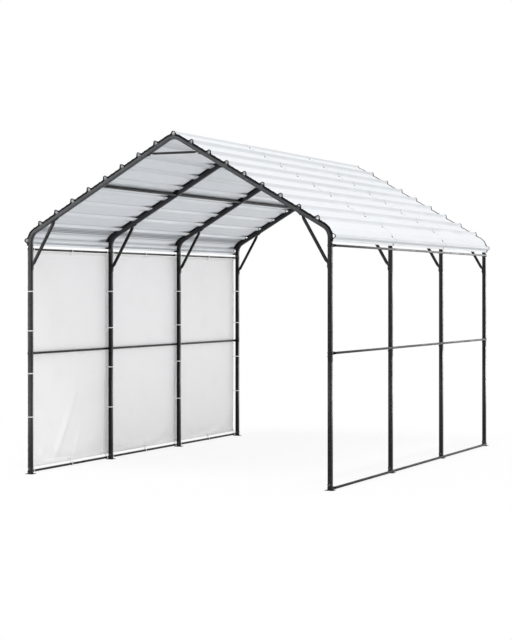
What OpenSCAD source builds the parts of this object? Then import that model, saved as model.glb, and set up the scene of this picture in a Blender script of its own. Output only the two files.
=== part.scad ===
// Open carport: four bent tube frames, a ribbed sheet roof with rounded eaves, side rails
// and one laced side cloth. X runs across, Y runs lengthwise and Z = 0 is the ground.
// The origin is the centre of the footprint.

/* [Plan] */
// Post spacing across, centre to centre
post_span = 3010; // [2800:10:3600]
// Length of one bay between frames
bay = 1510; // [1200:10:1800]
// Slope of the roof in degrees
pitch = 30; // [25:1:35]
// Height at which the two rafter centre lines would meet
ridge_z = 3101; // [3060:1:3300]

/* [Tubes] */
// Side of the square frame tube
tube = 38; // [30:1:50]
// Centre-line radius of the bends at the eaves and the ridge
bend_r = 120; // [90:5:150]
// Height of the seam between lower leg and bow
seam_z = 1100; // [900:10:1300]
// Side of the square tube of rails and collar ties
bar = 20; // [16:1:30]
// Side of the square tube of the knee braces
brace = 25; // [16:1:30]
// Side of the square purlin tube
purlin = 25; // [20:1:32]

/* [Braces] */
// Distance of each knee brace end from the inner corner of the frame
knee_leg = 278; // [220:1:360]
// Height of the collar ties at their centre line
collar_z = 2944; // [2900:1:2960]
// Distance of each purlin from the ridge, measured level
purlin_x = 750; // [600:10:900]

/* [Rails] */
// Height of the top rails
top_rail_z = 2097; // [2000:1:2100]
// Height of the middle rail on the cloth side
left_mid_z = 1123; // [1000:1:1400]
// Height of the middle rail on the open side
right_mid_z = 1175; // [1000:1:1400]
// Height of the bottom rails
bottom_rail_z = 20; // [16:1:60]
// Thickness of a rail's pressed ends
tab_t = 4; // [3:0.5:6]
// Length of a pressed end, over the outer frame's post
tab_long = 42; // [36:1:60]
// Length over which a rail goes from its pressed end to the full square
press_long = 36; // [20:1:60]

/* [Roof sheets] */
// Thickness of the sheet slabs
sheet = 4; // [2:1:6]
// Height of the ribs above the sheet
rib_h = 31; // [20:1:40]
// Width of a rib at its base
rib_base = 51; // [40:1:60]
// Width of a rib at its top
rib_top = 16; // [10:1:24]
// Rib spacing along the slope
rib_pitch = 200; // [180:5:220]
// Number of ribs on each slope
ribs = 8; // [7:1:8]
// Distance of the first rib from the ridge, along the slope
rib_start = 188; // [170:1:200]
// Half width of the ridge cap, along the slope
cap_half = 95; // [90:1:120]
// Lower edge of the sheets below the eaves
sheet_bottom_z = 2130; // [2110:1:2140]
// Height of the rib below the eave bend
eave_rib_z = 2176; // [2170:1:2190]

/* [Feet] */
// Side of the square foot plate
foot = 80; // [70:1:100]
// Thickness of the foot plate
foot_t = 4; // [3:1:8]
// Radius of the two anchor holes
foot_hole_r = 5; // [4:0.5:7]
// Distance between the anchor holes, lengthwise
foot_hole_gap = 56; // [50:1:70]

/* [Cloth and ties] */
// Thickness of the side cloth
cloth_t = 2; // [1:0.5:3]
// Lower edge of the side cloth
cloth_bottom_z = 55; // [35:1:100]
// Upper edge of the side cloth
cloth_top_z = 2080; // [1900:1:2085]
// Distance of the cloth's end hems from the outer frames' centre lines
cloth_inset = 18; // [0:1:40]
// Heights of the loops that tie the cloth to each post
post_tie_z = [531, 937, 1335, 1703];
// Places of a rail's ties in each bay, from the bay's front post
rail_ties_at = [90, 790, 1475];
// Thickness of a tie loop
tie_t = 2; // [1:0.5:3]
// Width of a tie loop
tie_w = 8; // [5:1:12]

/* [Hidden] */

bays = 3;
post_x = post_span / 2;
frame_y = [for (i = [0:bays]) (i - bays / 2) * bay];
half = tube / 2;
post_out = post_x + half;
post_in = post_x - half;
run = tan(pitch);
under_z = ridge_z - half / cos(pitch);
eave_turn = 90 - pitch;
ridge_c = [0, ridge_z - bend_r / cos(pitch)];
eave_c = [post_x - bend_r, ridge_c[1] - (post_x - bend_r) * run];
knee_cut = brace / 2 / sin(eave_turn / 2);
knee_low_z = under_z - post_in * run - knee_leg;
knee_top_s = (post_in - knee_leg * cos(pitch)) / cos(pitch);
sheet_out = half + sheet;
frame_len = bays * bay + tube;
sheet_gap = 1;
cloth_gap = 3;
cloth_x = post_out + bar + cloth_gap;
rail_tie_y = [for (i = [0:bays - 1], at = rail_ties_at) frame_y[i] + at];

steel = "dimgray";
sheet_white = "whitesmoke";
cloth_white = "gainsboro";

// ---------- shared shapes ----------

// Points from angle a to angle b on a circle about c
function arc(c, r, a, b, steps) =
    [for (k = [0:steps]) let (t = a + (b - a) * k / steps) c + r * [cos(t), sin(t)]];

function reversed(p) = [for (k = [len(p) - 1:-1:0]) p[k]];
function mirrored(p) = [for (q = p) [-q[0], q[1]]];

// A flat outline in X and Z, given thickness along Y and centred on y
module slab_y(y, depth) {
    translate([0, y + depth / 2, 0]) rotate([90, 0, 0]) linear_extrude(depth) children();
}

module both_sides() {
    children();
    mirror([1, 0, 0]) children();
}

// ---------- frames ----------

module leg(side, i) {
    color(steel) translate([side * post_x - half, frame_y[i] - half, foot_t])
        cube([tube, tube, seam_z - foot_t]);
}

// The line n off the tube's centre line, from the left seam over the ridge to the right seam
function bow_line(n) = let (r = bend_r + n)
    concat(
        [[-post_x - n, seam_z]],
        arc([-eave_c[0], eave_c[1]], r, 180, 180 - eave_turn, 12),
        arc(ridge_c, r, 90 + pitch, 90 - pitch, 12),
        arc(eave_c, r, eave_turn, 0, 12),
        [[post_x + n, seam_z]]
    );

module bow(i) {
    color(steel) slab_y(frame_y[i], tube)
        polygon(concat(bow_line(half), reversed(bow_line(-half))));
}

module feet(i) {
    color(steel) both_sides() translate([post_x, frame_y[i], 0]) difference() {
        translate([-foot / 2, -foot / 2, 0]) cube([foot, foot, foot_t]);
        for (y = [-1, 1])
            translate([0, y * foot_hole_gap / 2, -1]) cylinder(r = foot_hole_r, h = foot_t + 2, $fn = 48);
    }
}

// A point on the underside of the right rafter, s along the slope from the ridge line
function under(s) = [s * cos(pitch), under_z - s * sin(pitch)];

module knee_braces(i) {
    color(steel) both_sides() slab_y(frame_y[i], brace) polygon([
        [post_in, knee_low_z - knee_cut], [post_in, knee_low_z + knee_cut],
        under(knee_top_s + knee_cut), under(knee_top_s - knee_cut)
    ]);
}

module collar_ties() {
    low = (under_z - collar_z + bar / 2) / run;
    high = (under_z - collar_z - bar / 2) / run;
    color(steel) for (y = frame_y) slab_y(y, bar) polygon([
        [-low, collar_z - bar / 2], [low, collar_z - bar / 2],
        [high, collar_z + bar / 2], [-high, collar_z + bar / 2]
    ]);
}

module purlins(side) {
    color(steel) for (i = [0:bays - 1])
        translate([side * purlin_x, frame_y[i] + half, ridge_z - purlin_x * run])
            rotate([0, side * pitch, 0]) translate([-purlin / 2, 0, -purlin / 2])
                cube([purlin, bay - tube, purlin]);
}

// One half of a rail seen from above, its end pressed flat against the post
function rail_half(end) = let (tab_y = end - tab_long, full_y = tab_y - press_long)
    [[post_out + bar, full_y], [post_out + tab_t, tab_y], [post_out + tab_t, end], [post_out, end]];

module rail(side, z) {
    color(steel) mirror([side < 0 ? 1 : 0, 0, 0]) translate([0, 0, z - bar / 2])
        linear_extrude(bar) polygon(concat(
            rail_half(frame_len / 2),
            [for (p = reversed(rail_half(frame_len / 2))) [p[0], -p[1]]]
        ));
}

// ---------- roof ----------

// A point n off the rafter's centre line, s along the slope
function slope_pt(s, n) =
    [s * cos(pitch) + n * sin(pitch), ridge_z - s * sin(pitch) + n * cos(pitch)];

// How much each half width of a rib shrinks on the sheet's inner side
function rib_shrink(n) = (sheet_out - n) * tan(30);

// Outline of the side sheet at n off the centre line, from the cap down to the strip's edge
function sheet_line(n) = let (d = rib_shrink(n), b = rib_base / 2 - d, t = rib_top / 2 - d)
    concat(
        [slope_pt(cap_half + sheet_gap, n)],
        [for (k = [0:ribs - 1]) let (s = rib_start + k * rib_pitch)
            each [slope_pt(s - b, n), slope_pt(s - t, n + rib_h),
                  slope_pt(s + t, n + rib_h), slope_pt(s + b, n)]],
        arc(eave_c, bend_r + n, eave_turn, asin((eave_rib_z + b - eave_c[1]) / (bend_r + n)), 8),
        [[post_x + n + rib_h, eave_rib_z + t], [post_x + n + rib_h, eave_rib_z - t],
         [post_x + n, eave_rib_z - b], [post_x + n, sheet_bottom_z]]
    );

// Right half of the ridge cap's outline at n off the centre line, from the rib outwards
function cap_line(n) = let (
        d = rib_shrink(n), b = rib_base / 2 - d, t = rib_top / 2 - d)
    concat(
        [[t, ridge_c[1] + bend_r + n + rib_h]],
        arc(ridge_c, bend_r + n, acos(b / (bend_r + n)), 90 - pitch, 4),
        [slope_pt(cap_half, n)]
    );

// Bay sheets run between frame lines; the outer ones end flush with the outer frames
function sheet_y0(i) = i == 0 ? -frame_len / 2 : frame_y[i] + sheet_gap / 2;
function sheet_y1(i) = i == bays - 1 ? frame_len / 2 : frame_y[i + 1] - sheet_gap / 2;

module bay_slab(i) {
    slab_y((sheet_y0(i) + sheet_y1(i)) / 2, sheet_y1(i) - sheet_y0(i)) children();
}

module roof_sheet(side, i) {
    color(sheet_white) mirror([side < 0 ? 1 : 0, 0, 0])
        bay_slab(i) polygon(concat(sheet_line(sheet_out), reversed(sheet_line(half))));
}

module ridge_cap(i) {
    color(sheet_white) bay_slab(i) polygon(concat(
        reversed(mirrored(cap_line(sheet_out))), cap_line(sheet_out),
        reversed(cap_line(half)), mirrored(cap_line(half))
    ));
}

// ---------- cloth and ties ----------

module side_cloth() {
    color(cloth_white)
        translate([-cloth_x - cloth_t, frame_y[0] + cloth_inset, cloth_bottom_z])
            cube([cloth_t, bays * bay - 2 * cloth_inset, cloth_top_z - cloth_bottom_z]);
}

// Loops that hug three sides of each left post and meet the cloth
module post_ties() {
    color(cloth_white) for (y = frame_y, z = post_tie_z)
        translate([-cloth_x, y, z - tie_w / 2]) linear_extrude(tie_w) difference() {
            translate([0, -half - tie_t]) square([cloth_x - post_in + tie_t, tube + 2 * tie_t]);
            translate([-1, -half]) square([cloth_x - post_in + 1, tube]);
        }
}

// Loops that hug three sides of the left top and bottom rails and meet the cloth
module rail_ties() {
    color(cloth_white) for (y = rail_tie_y, z = [bottom_rail_z, top_rail_z])
        slab_y(y, tie_w) translate([-cloth_x, z]) difference() {
            translate([0, -bar / 2 - tie_t]) square([cloth_gap + bar + tie_t, bar + 2 * tie_t]);
            translate([-1, -bar / 2]) square([1 + cloth_gap + bar, bar]);
        }
}

leg(-1, 0);  // leg_front_left
leg(1, 0);  // leg_front_right
leg(-1, 1);  // leg_second_left
leg(1, 1);  // leg_second_right
leg(-1, 2);  // leg_third_left
leg(1, 2);  // leg_third_right
leg(-1, 3);  // leg_rear_left
leg(1, 3);  // leg_rear_right
bow(0);  // bow_front
bow(1);  // bow_second
bow(2);  // bow_third
bow(3);  // bow_rear
feet(0);  // feet_front
feet(1);  // feet_second
feet(2);  // feet_third
feet(3);  // feet_rear
knee_braces(0);  // knee_braces_front
knee_braces(1);  // knee_braces_second
knee_braces(2);  // knee_braces_third
knee_braces(3);  // knee_braces_rear
collar_ties();
purlins(-1);  // purlins_left
purlins(1);  // purlins_right
rail(-1, top_rail_z);  // top_rail_left
rail(1, top_rail_z);  // top_rail_right
rail(-1, left_mid_z);  // mid_rail_left
rail(1, right_mid_z);  // mid_rail_right
rail(-1, bottom_rail_z);  // bottom_rail_left
rail(1, bottom_rail_z);  // bottom_rail_right
roof_sheet(-1, 0);  // roof_front_left
roof_sheet(1, 0);  // roof_front_right
ridge_cap(0);  // ridge_cap_front
roof_sheet(-1, 1);  // roof_middle_left
roof_sheet(1, 1);  // roof_middle_right
ridge_cap(1);  // ridge_cap_middle
roof_sheet(-1, 2);  // roof_rear_left
roof_sheet(1, 2);  // roof_rear_right
ridge_cap(2);  // ridge_cap_rear
side_cloth();
post_ties();
rail_ties();
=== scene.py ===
import math

import bpy
import numpy as np
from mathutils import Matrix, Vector


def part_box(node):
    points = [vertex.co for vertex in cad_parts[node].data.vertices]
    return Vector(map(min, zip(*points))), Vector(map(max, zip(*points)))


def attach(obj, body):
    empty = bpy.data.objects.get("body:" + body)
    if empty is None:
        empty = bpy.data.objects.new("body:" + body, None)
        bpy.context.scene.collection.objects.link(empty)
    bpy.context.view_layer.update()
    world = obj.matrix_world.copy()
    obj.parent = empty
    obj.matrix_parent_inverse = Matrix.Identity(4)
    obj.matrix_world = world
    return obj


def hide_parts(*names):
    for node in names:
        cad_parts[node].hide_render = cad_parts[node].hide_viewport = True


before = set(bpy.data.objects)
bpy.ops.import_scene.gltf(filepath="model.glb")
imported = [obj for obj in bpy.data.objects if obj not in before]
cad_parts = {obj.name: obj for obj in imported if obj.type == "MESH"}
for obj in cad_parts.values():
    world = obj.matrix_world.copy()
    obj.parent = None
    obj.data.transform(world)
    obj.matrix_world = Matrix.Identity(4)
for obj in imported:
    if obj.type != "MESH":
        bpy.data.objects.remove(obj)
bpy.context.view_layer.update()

FRAMES = ["front", "second", "third", "rear"]
SIDES = ["left", "right"]
FLANKS = [(-1, "left"), (1, "right")]


# ---------- Lower legs ----------
# Eight lengths of 38 mm square tube with rolled corners. Each is cut square, welded to its
# foot plate with one bead all round, and coated dark grey after welding.

LEG_CORNER = 0.0045
LEG_MOUTH_GAP = 0.0004
LEG_WALL = 0.0014
BEAD_SIZE = 0.0038
BEAD_RIPPLE = 0.0005
BEAD_RIPPLES = 44


def rounded_rect(width, height, corner, steps=4, flats=3):
    """Closed outline, counter-clockwise: four quarter arcs of radius corner about the points
    (+-(width/2 - corner), +-(height/2 - corner)), joined by flats cut into equal lengths.
    width, height and corner may be arrays, which gives one outline a row."""
    width, height, corner = np.broadcast_arrays(*np.atleast_1d(width, height, corner))
    turn = np.linspace(0.0, np.pi / 2, steps + 1)
    part = np.arange(1, flats) / flats
    sides = []
    for quarter, (sx, sy) in enumerate([(1, 1), (-1, 1), (-1, -1), (1, -1)]):
        angle = turn + quarter * np.pi / 2
        x = sx * (width / 2 - corner)[:, None] + corner[:, None] * np.cos(angle)
        y = sy * (height / 2 - corner)[:, None] + corner[:, None] * np.sin(angle)
        sides.append(np.stack([x, y], axis=-1))
    out = []
    for here, after in zip(sides, sides[1:] + sides[:1]):
        gap = after[:, :1] - here[:, -1:]
        out += [here, here[:, -1:] + gap * part[None, :, None]]
    return np.concatenate(out, axis=1)


def corner_mask(steps=4, flats=3):
    """1 on the arcs of rounded_rect and 0 on its flats, so that wear can follow the corners."""
    return np.tile(np.r_[np.ones(steps + 1), np.zeros(flats - 1)], 4)


def surface(points, around=False, onward=False, edge=0.0, uv=None, back=False):
    """One grid of points, rows by columns, as quads. The normal is columns x rows. around joins
    the last column to the first, onward the last row to the first, and back turns it over."""
    rows, cols = points.shape[:2]
    i, j = np.meshgrid(np.arange(rows if onward else rows - 1),
                       np.arange(cols if around else cols - 1), indexing="ij")
    i, j = i.ravel(), j.ravel()
    ring = np.stack([np.stack([i, i, i + 1, i + 1], -1), np.stack([j, j + 1, j + 1, j], -1)], -1)
    if back:
        ring = ring[:, ::-1]
    quads = (ring[..., 0] % rows) * cols + ring[..., 1] % cols
    if uv is None:
        across = np.linalg.norm(np.diff(points, axis=1, append=points[:, :1]), axis=-1).mean(0)
        along = np.linalg.norm(np.diff(points, axis=0, append=points[:1]), axis=-1).mean(1)
        u, v = np.r_[0.0, np.cumsum(across)], np.r_[0.0, np.cumsum(along)]
        quad_uv = np.stack([u[ring[..., 1]], v[ring[..., 0]]], axis=-1)
    else:
        quad_uv = uv.reshape(-1, 2)[quads]
    mask = np.broadcast_to(np.asarray(edge, float), (rows, cols)).ravel()
    return {"verts": points.reshape(-1, 3), "quads": quads, "uv": quad_uv,
            "tris": np.zeros((0, 3), int), "edge": mask}


def lid(ring, back=False):
    """A flat fan from the middle of a closed ring of points to each of its sides."""
    n = len(ring)
    j = np.arange(n)
    tris = np.stack([np.full(n, n), j, (j + 1) % n], -1)
    return {"verts": np.vstack([ring, ring.mean(0)]), "quads": np.zeros((0, 4), int),
            "uv": np.zeros((0, 4, 2)), "tris": tris[:, ::-1] if back else tris,
            "edge": np.zeros(n + 1)}


def join(parts):
    """Several shapes as one: their points one after another, their faces counted on."""
    start = np.cumsum([0] + [len(p["verts"]) for p in parts])
    return {
        "verts": np.concatenate([p["verts"] for p in parts]),
        "quads": np.concatenate([p["quads"] + s for p, s in zip(parts, start)]),
        "uv": np.concatenate([p["uv"] for p in parts]),
        "tris": np.concatenate([p["tris"] + s for p, s in zip(parts, start)]),
        "edge": np.concatenate([p["edge"] for p in parts]),
    }


def thin_body(over, under, flip=-1, **skin):
    """Two grids of points as the faces of a thin closed body: a loop over the first and back
    along the second, and a face across both ends. flip is 1 where it has to be turned over."""
    loop = surface(np.concatenate([over, under[::-1]]), onward=True, back=flip > 0, **skin)
    ends = [surface(np.stack([over[:, k], under[:, k]], 1), back=(k == -1) == (flip > 0))
            for k in (0, -1)]
    return join([loop] + ends)


def directions(line):
    """Unit directions along a line of points."""
    along = np.gradient(line, axis=0)
    return along / np.linalg.norm(along, axis=1)[:, None]


def walked(line):
    """The way walked along a line of points, from 0 at its start."""
    return np.r_[0, np.cumsum(np.linalg.norm(np.diff(line, axis=0), axis=1))]


def in_scene(name, data):
    """A new object with this data, put in the scene."""
    thing = bpy.data.objects.new(name, data)
    bpy.context.scene.collection.objects.link(thing)
    return thing


def piece(name, shape, finishes, nodes=(), crease=35, which=None):
    """Puts a shape into a mesh of its own, smooth but for angles over crease degrees, and rides
    it on the carport. finishes are its materials, and which gives the material of each face."""
    mesh = bpy.data.meshes.new(name)
    quads, tris = shape["quads"], shape["tris"]
    counts = np.r_[np.full(len(quads), 4), np.full(len(tris), 3)]
    mesh.vertices.add(len(shape["verts"]))
    mesh.vertices.foreach_set("co", shape["verts"].astype(np.float32).ravel())
    mesh.loops.add(int(counts.sum()))
    mesh.loops.foreach_set("vertex_index", np.r_[quads.ravel(), tris.ravel()].astype(np.int32))
    mesh.polygons.add(len(counts))
    mesh.polygons.foreach_set("loop_start", np.r_[0, np.cumsum(counts)[:-1]].astype(np.int32))
    if which is not None:
        mesh.polygons.foreach_set("material_index", np.asarray(which, np.int32))
    mesh.update(calc_edges=True)
    layer = mesh.uv_layers.new(name="UVMap")
    flat = np.zeros((int(counts.sum()), 2), np.float32)
    flat[:shape["uv"].size // 2] = shape["uv"].reshape(-1, 2)
    layer.data.foreach_set("uv", flat.ravel())
    mask = mesh.attributes.new("edge", "FLOAT", "POINT")
    mask.data.foreach_set("value", shape["edge"].astype(np.float32))
    for finish in finishes:
        mesh.materials.append(finish)
    mesh.validate()
    mesh.shade_smooth()
    mesh.set_sharp_from_angle(angle=math.radians(crease))
    thing = in_scene(name, mesh)
    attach(thing, "root")
    if nodes:
        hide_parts(*nodes)
    return thing


def carried(centre, side, up, outline, edge=0.0, capped=True, onward=False):
    """An outline carried along a path: row k is centre[k] + x side[k] + y up[k] for each point
    (x, y) of its outline. side x up points along the path. Both ends get a lid."""
    rows = len(centre)
    outline = np.broadcast_to(outline, (rows,) + outline.shape[-2:])
    side, up = (np.broadcast_to(v, (rows, 3)) for v in (side, up))
    points = centre[:, None] + outline[..., :1] * side[:, None] + outline[..., 1:] * up[:, None]
    body = surface(points, around=True, edge=edge, onward=onward)
    if onward or not capped:
        return body
    return join([body, lid(points[0], back=True), lid(points[-1])])


def new_group(name, inputs, outputs):
    """An empty shader group with number inputs (name, value) and outputs (name, kind)."""
    group = bpy.data.node_groups.new(name, "ShaderNodeTree")
    for label, value in inputs:
        socket = group.interface.new_socket(label, in_out="INPUT", socket_type="NodeSocketFloat")
        socket.default_value = value
    for label, kind in outputs:
        group.interface.new_socket(label, in_out="OUTPUT", socket_type=kind)
    return group, group.nodes.new("NodeGroupInput"), group.nodes.new("NodeGroupOutput")


def node(tree, kind, **settings):
    """One node with its properties set, and its unlinked sockets where a name is a socket's."""
    made = tree.nodes.new(kind)
    for key, value in settings.items():
        if hasattr(made, key):
            setattr(made, key, value)
        else:
            made.inputs[key.replace("_", " ")].default_value = value
    return made


def math_node(tree, operation, *values, clamp=False):
    """A Math node whose inputs are sockets or plain numbers."""
    made = node(tree, "ShaderNodeMath", operation=operation, use_clamp=clamp)
    for place, value in zip(made.inputs, values):
        if isinstance(value, (int, float)):
            place.default_value = value
        else:
            tree.links.new(value, place)
    return made.outputs[0]


def mapped(tree, value, low, high, to_low=0.0, to_high=1.0):
    """A value taken smoothly from low..high to to_low..to_high."""
    made = node(tree, "ShaderNodeMapRange", interpolation_type="SMOOTHSTEP")
    for place, number in zip(made.inputs[1:5], (low, high, to_low, to_high)):
        place.default_value = number
    tree.links.new(value, made.inputs[0])
    return made.outputs[0]


def blended(tree, factor, first, second):
    """A colour mix of two colours or sockets by a factor socket."""
    made = node(tree, "ShaderNodeMix", data_type="RGBA")
    for place, value in zip((made.inputs[0], made.inputs[6], made.inputs[7]),
                            (factor, first, second)):
        if isinstance(value, bpy.types.NodeSocket):
            tree.links.new(value, place)
        else:
            place.default_value = value
    return made.outputs[2]


def pattern(tree, kind, where, **settings):
    """A Noise or Voronoi texture of a place socket: its grey value, or its distance."""
    made = node(tree, f"ShaderNodeTex{kind}", **settings)
    tree.links.new(where, made.inputs["Vector"])
    return made.outputs["Distance" if kind == "Voronoi" else "Fac"]


def object_place(tree):
    """The socket with the place on the object."""
    return node(tree, "ShaderNodeTexCoord").outputs["Object"]


def stretched(tree, where, scale):
    """A place socket scaled by its own factor on each axis."""
    made = node(tree, "ShaderNodeMapping", Scale=scale)
    tree.links.new(where, made.inputs[0])
    return made.outputs[0]


def parted(tree, vector):
    """A vector socket's X, Y and Z sockets."""
    made = node(tree, "ShaderNodeSeparateXYZ")
    tree.links.new(vector, made.inputs[0])
    return made.outputs


def edge_wear_group():
    """Where corners have been rubbed: the edge attribute times blotches, and finer chips."""
    group, given, out = new_group("edge wear", [("Amount", 0.4), ("Patch size", 30.0)],
                                  [("Mask", "NodeSocketFloat")])
    place = object_place(group)
    corner = node(group, "ShaderNodeAttribute", attribute_name="edge").outputs["Fac"]
    blotch = node(group, "ShaderNodeTexNoise", Detail=3.0, Roughness=0.6)
    group.links.new(place, blotch.inputs["Vector"])
    group.links.new(given.outputs["Patch size"], blotch.inputs["Scale"])
    speck = mapped(group, pattern(group, "Noise", place, Scale=420.0, Detail=2.0), 0.46, 0.60)
    both = math_node(group, "MULTIPLY", mapped(group, blotch.outputs["Fac"], 0.58, 0.72), speck)
    masked = math_node(group, "MULTIPLY", both, math_node(group, "POWER", corner, 2.0))
    group.links.new(math_node(group, "MULTIPLY", masked, given.outputs["Amount"]), out.inputs[0])
    return group


def dust_group():
    """Settled dust: more on faces that look up and near the ground, broken up by noise."""
    group, given, out = new_group("dust", [("Amount", 0.3), ("Splash height", 0.25)],
                                  [("Mask", "NodeSocketFloat")])
    place = object_place(group)
    facing_up = parted(group, node(group, "ShaderNodeNewGeometry").outputs["Normal"])["Z"]
    cloud = pattern(group, "Noise", place, Scale=9.0, Detail=5.0, Roughness=0.65)
    low = math_node(group, "DIVIDE", parted(group, place)["Z"], given.outputs["Splash height"])
    splash = mapped(group, low, 1.0, 0.0)
    both = math_node(group, "MAXIMUM", splash, mapped(group, facing_up, 0.4, 1.0, 0.0, 0.6))
    broken = math_node(group, "MULTIPLY", both, mapped(group, cloud, 0.35, 0.7))
    group.links.new(math_node(group, "MULTIPLY", broken, given.outputs["Amount"]), out.inputs[0])
    return group


EDGE_WEAR = edge_wear_group()
DUST = dust_group()


def placed(tree, group, **values):
    """The group in a material, with its own values."""
    made = node(tree, "ShaderNodeGroup", node_tree=group)
    for label, value in values.items():
        made.inputs[label.replace("_", " ")].default_value = value
    return made.outputs[0]


def finish(name, roughness, metallic=0.0, specular=0.5):
    """A material with one Principled BSDF and its plain sockets set."""
    made = bpy.data.materials.new(name)
    made.use_nodes = True
    tree = made.node_tree
    paint = tree.nodes["Principled BSDF"]
    paint.inputs["Roughness"].default_value = roughness
    paint.inputs["Metallic"].default_value = metallic
    paint.inputs["Specular IOR Level"].default_value = specular
    return made, tree, paint


def shaded(colour, by):
    """A colour made darker or paler by a factor."""
    return tuple(min(by * c, 1.0) for c in colour[:3]) + (1.0,)


def painted(tree, paint, base, roughness=None):
    """A colour socket, and one for the roughness if given, into the shader."""
    tree.links.new(base, paint.inputs["Base Color"])
    if roughness is not None:
        tree.links.new(roughness, paint.inputs["Roughness"])


def bumped(tree, paint, height, distance, strength=1.0):
    """A height socket through a Bump node into the shader's Normal."""
    bump = node(tree, "ShaderNodeBump", Strength=strength, Distance=distance)
    tree.links.new(height, bump.inputs["Height"])
    tree.links.new(bump.outputs[0], paint.inputs["Normal"])


def powder_coat(name, colour, worn, roughness, shine, painted_light_under_roof=None):
    """Satin powder coat: cloudy tone, fine orange peel, rubbed corners and a little dust. The
    part under the roof may be painted paler from 2.1 m up: painted light for the rafters under the roof."""
    made, tree, paint = finish(name, roughness, specular=shine)
    place = object_place(tree)
    tone = pattern(tree, "Noise", place, Scale=5.0, Detail=4.0)
    peel = pattern(tree, "Noise", place, Scale=750.0, Detail=2.0)
    base = blended(tree, mapped(tree, tone, 0.3, 0.7), shaded(colour, 0.90), colour)
    # painted light: the colour goes paler from 2.1 m up, under the roof
    if painted_light_under_roof is not None:
        base = blended(tree, mapped(tree, parted(tree, place)["Z"], 2.10, 2.32), base, painted_light_under_roof)
    rubbed = blended(tree, placed(tree, EDGE_WEAR, Amount=0.22, Patch_size=9.0), base, worn)
    dusty = blended(tree, placed(tree, DUST, Amount=0.10, Splash_height=0.16), rubbed,
                    (0.22, 0.215, 0.205, 1.0))
    painted(tree, paint, dusty, mapped(tree, tone, 0.3, 0.7, roughness - 0.05, roughness + 0.07))
    bumped(tree, paint, peel, 0.0002, 0.08)
    return made


DARK_GREY = (0.0095, 0.0097, 0.0103, 1.0)
WORN_GREY = (0.07, 0.071, 0.074, 1.0)
frame_coat = powder_coat("frame_coat", DARK_GREY, WORN_GREY, 0.31, 0.10)

legs = {(f, s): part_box(f"leg_{f}_{s}") for f in FRAMES for s in SIDES}
tube = legs["front", "left"][1].x - legs["front", "left"][0].x
post_x = (legs["front", "right"][0].x + legs["front", "right"][1].x) / 2
seam_z = legs["front", "left"][1].z
plate_top = legs["front", "left"][0].z
frame_y = np.array([(legs[f, "left"][0].y + legs[f, "left"][1].y) / 2 for f in FRAMES])
TUBE_OUTLINE = rounded_rect(tube, tube, LEG_CORNER)
X, Y, Z = np.eye(3)


def shrunk(inset):
    """The tube's outline, one row for each inset, drawn in by it on every side."""
    inset = np.asarray(inset, float)
    return rounded_rect(tube - 2 * inset, tube - 2 * inset, np.maximum(LEG_CORNER - inset, 0.002))


def weld_bead(x, y):
    """A quarter-round bead round the tube on the plate, its size rippled by a sine of the way
    round it: each ring is a quarter ellipse from the plate to the tube's face."""
    base = rounded_rect(tube, tube, LEG_CORNER, steps=10, flats=40)[0]
    way = np.linspace(0.0, 2 * np.pi, len(base), endpoint=False)
    size = BEAD_SIZE + BEAD_RIPPLE * np.sin(BEAD_RIPPLES * way)
    out = np.roll(base, -1, 0) - np.roll(base, 1, 0)
    out = np.stack([out[:, 1], -out[:, 0]], -1) / np.linalg.norm(out, axis=1)[:, None]
    turn = np.linspace(0.0, np.pi / 2, 5)
    rows = []
    for angle in turn:
        spread = base + out * (size * np.cos(angle))[:, None]
        high = plate_top + size * np.sin(angle)
        rows.append(np.column_stack([x + spread[:, 0], y + spread[:, 1], high]))
    root = base - out * BEAD_RIPPLE
    rows.append(np.column_stack([x + root[:, 0], y + root[:, 1], np.full(len(base), plate_top)]))
    return surface(np.stack(rows), around=True, onward=True)


for (f, s), (low, high) in legs.items():
    middle = (low + high) / 2
    inset = [0.0, 0.0, 0.0, 0.0006, LEG_WALL]
    heights = [low.z, low.z + 0.02, high.z - 0.0016, high.z - LEG_MOUTH_GAP, high.z - LEG_MOUTH_GAP]
    centre = np.array([[middle.x, middle.y, z] for z in heights])
    post = carried(centre, X, Y, shrunk(inset), edge=corner_mask())
    piece(f"lower_leg_{f}_{s}", join([post, weld_bead(middle.x, middle.y)]), [frame_coat],
          [f"leg_{f}_{s}"])


# ---------- Foot plates ----------
# A square of 4 mm plate under each leg, cut by laser with two anchor holes on the lengthwise
# centre line. The cut edges are lightly rounded and coated with the leg.

PLATE_CORNER = 0.009
PLATE_EDGE = 0.0007
ANCHOR_R = 0.005
ANCHOR_GAP = 0.056


def welded(shape):
    """The shape with points that lie together made one, and faces that closed up, or that lie
    back to back inside it, left out."""
    place = np.round(shape["verts"] * 2e6).astype(np.int64)
    kept, turn = np.unique(place, axis=0, return_index=True, return_inverse=True)[1:]
    turn = turn.ravel()
    out = {"verts": shape["verts"][kept], "edge": shape["edge"][kept]}
    quads, tris = turn[shape["quads"]], turn[shape["tris"]]
    whole = (np.sort(quads, 1)[:, 1:] != np.sort(quads, 1)[:, :-1]).all(1)
    same = np.unique(np.sort(quads, 1), axis=0, return_inverse=True, return_counts=True)
    single = same[2][same[1].ravel()] == 1
    out["quads"], out["uv"] = quads[whole & single], shape["uv"][whole & single]
    out["tris"] = tris[(np.sort(tris, 1)[:, 1:] != np.sort(tris, 1)[:, :-1]).all(1)]
    return out


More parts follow.
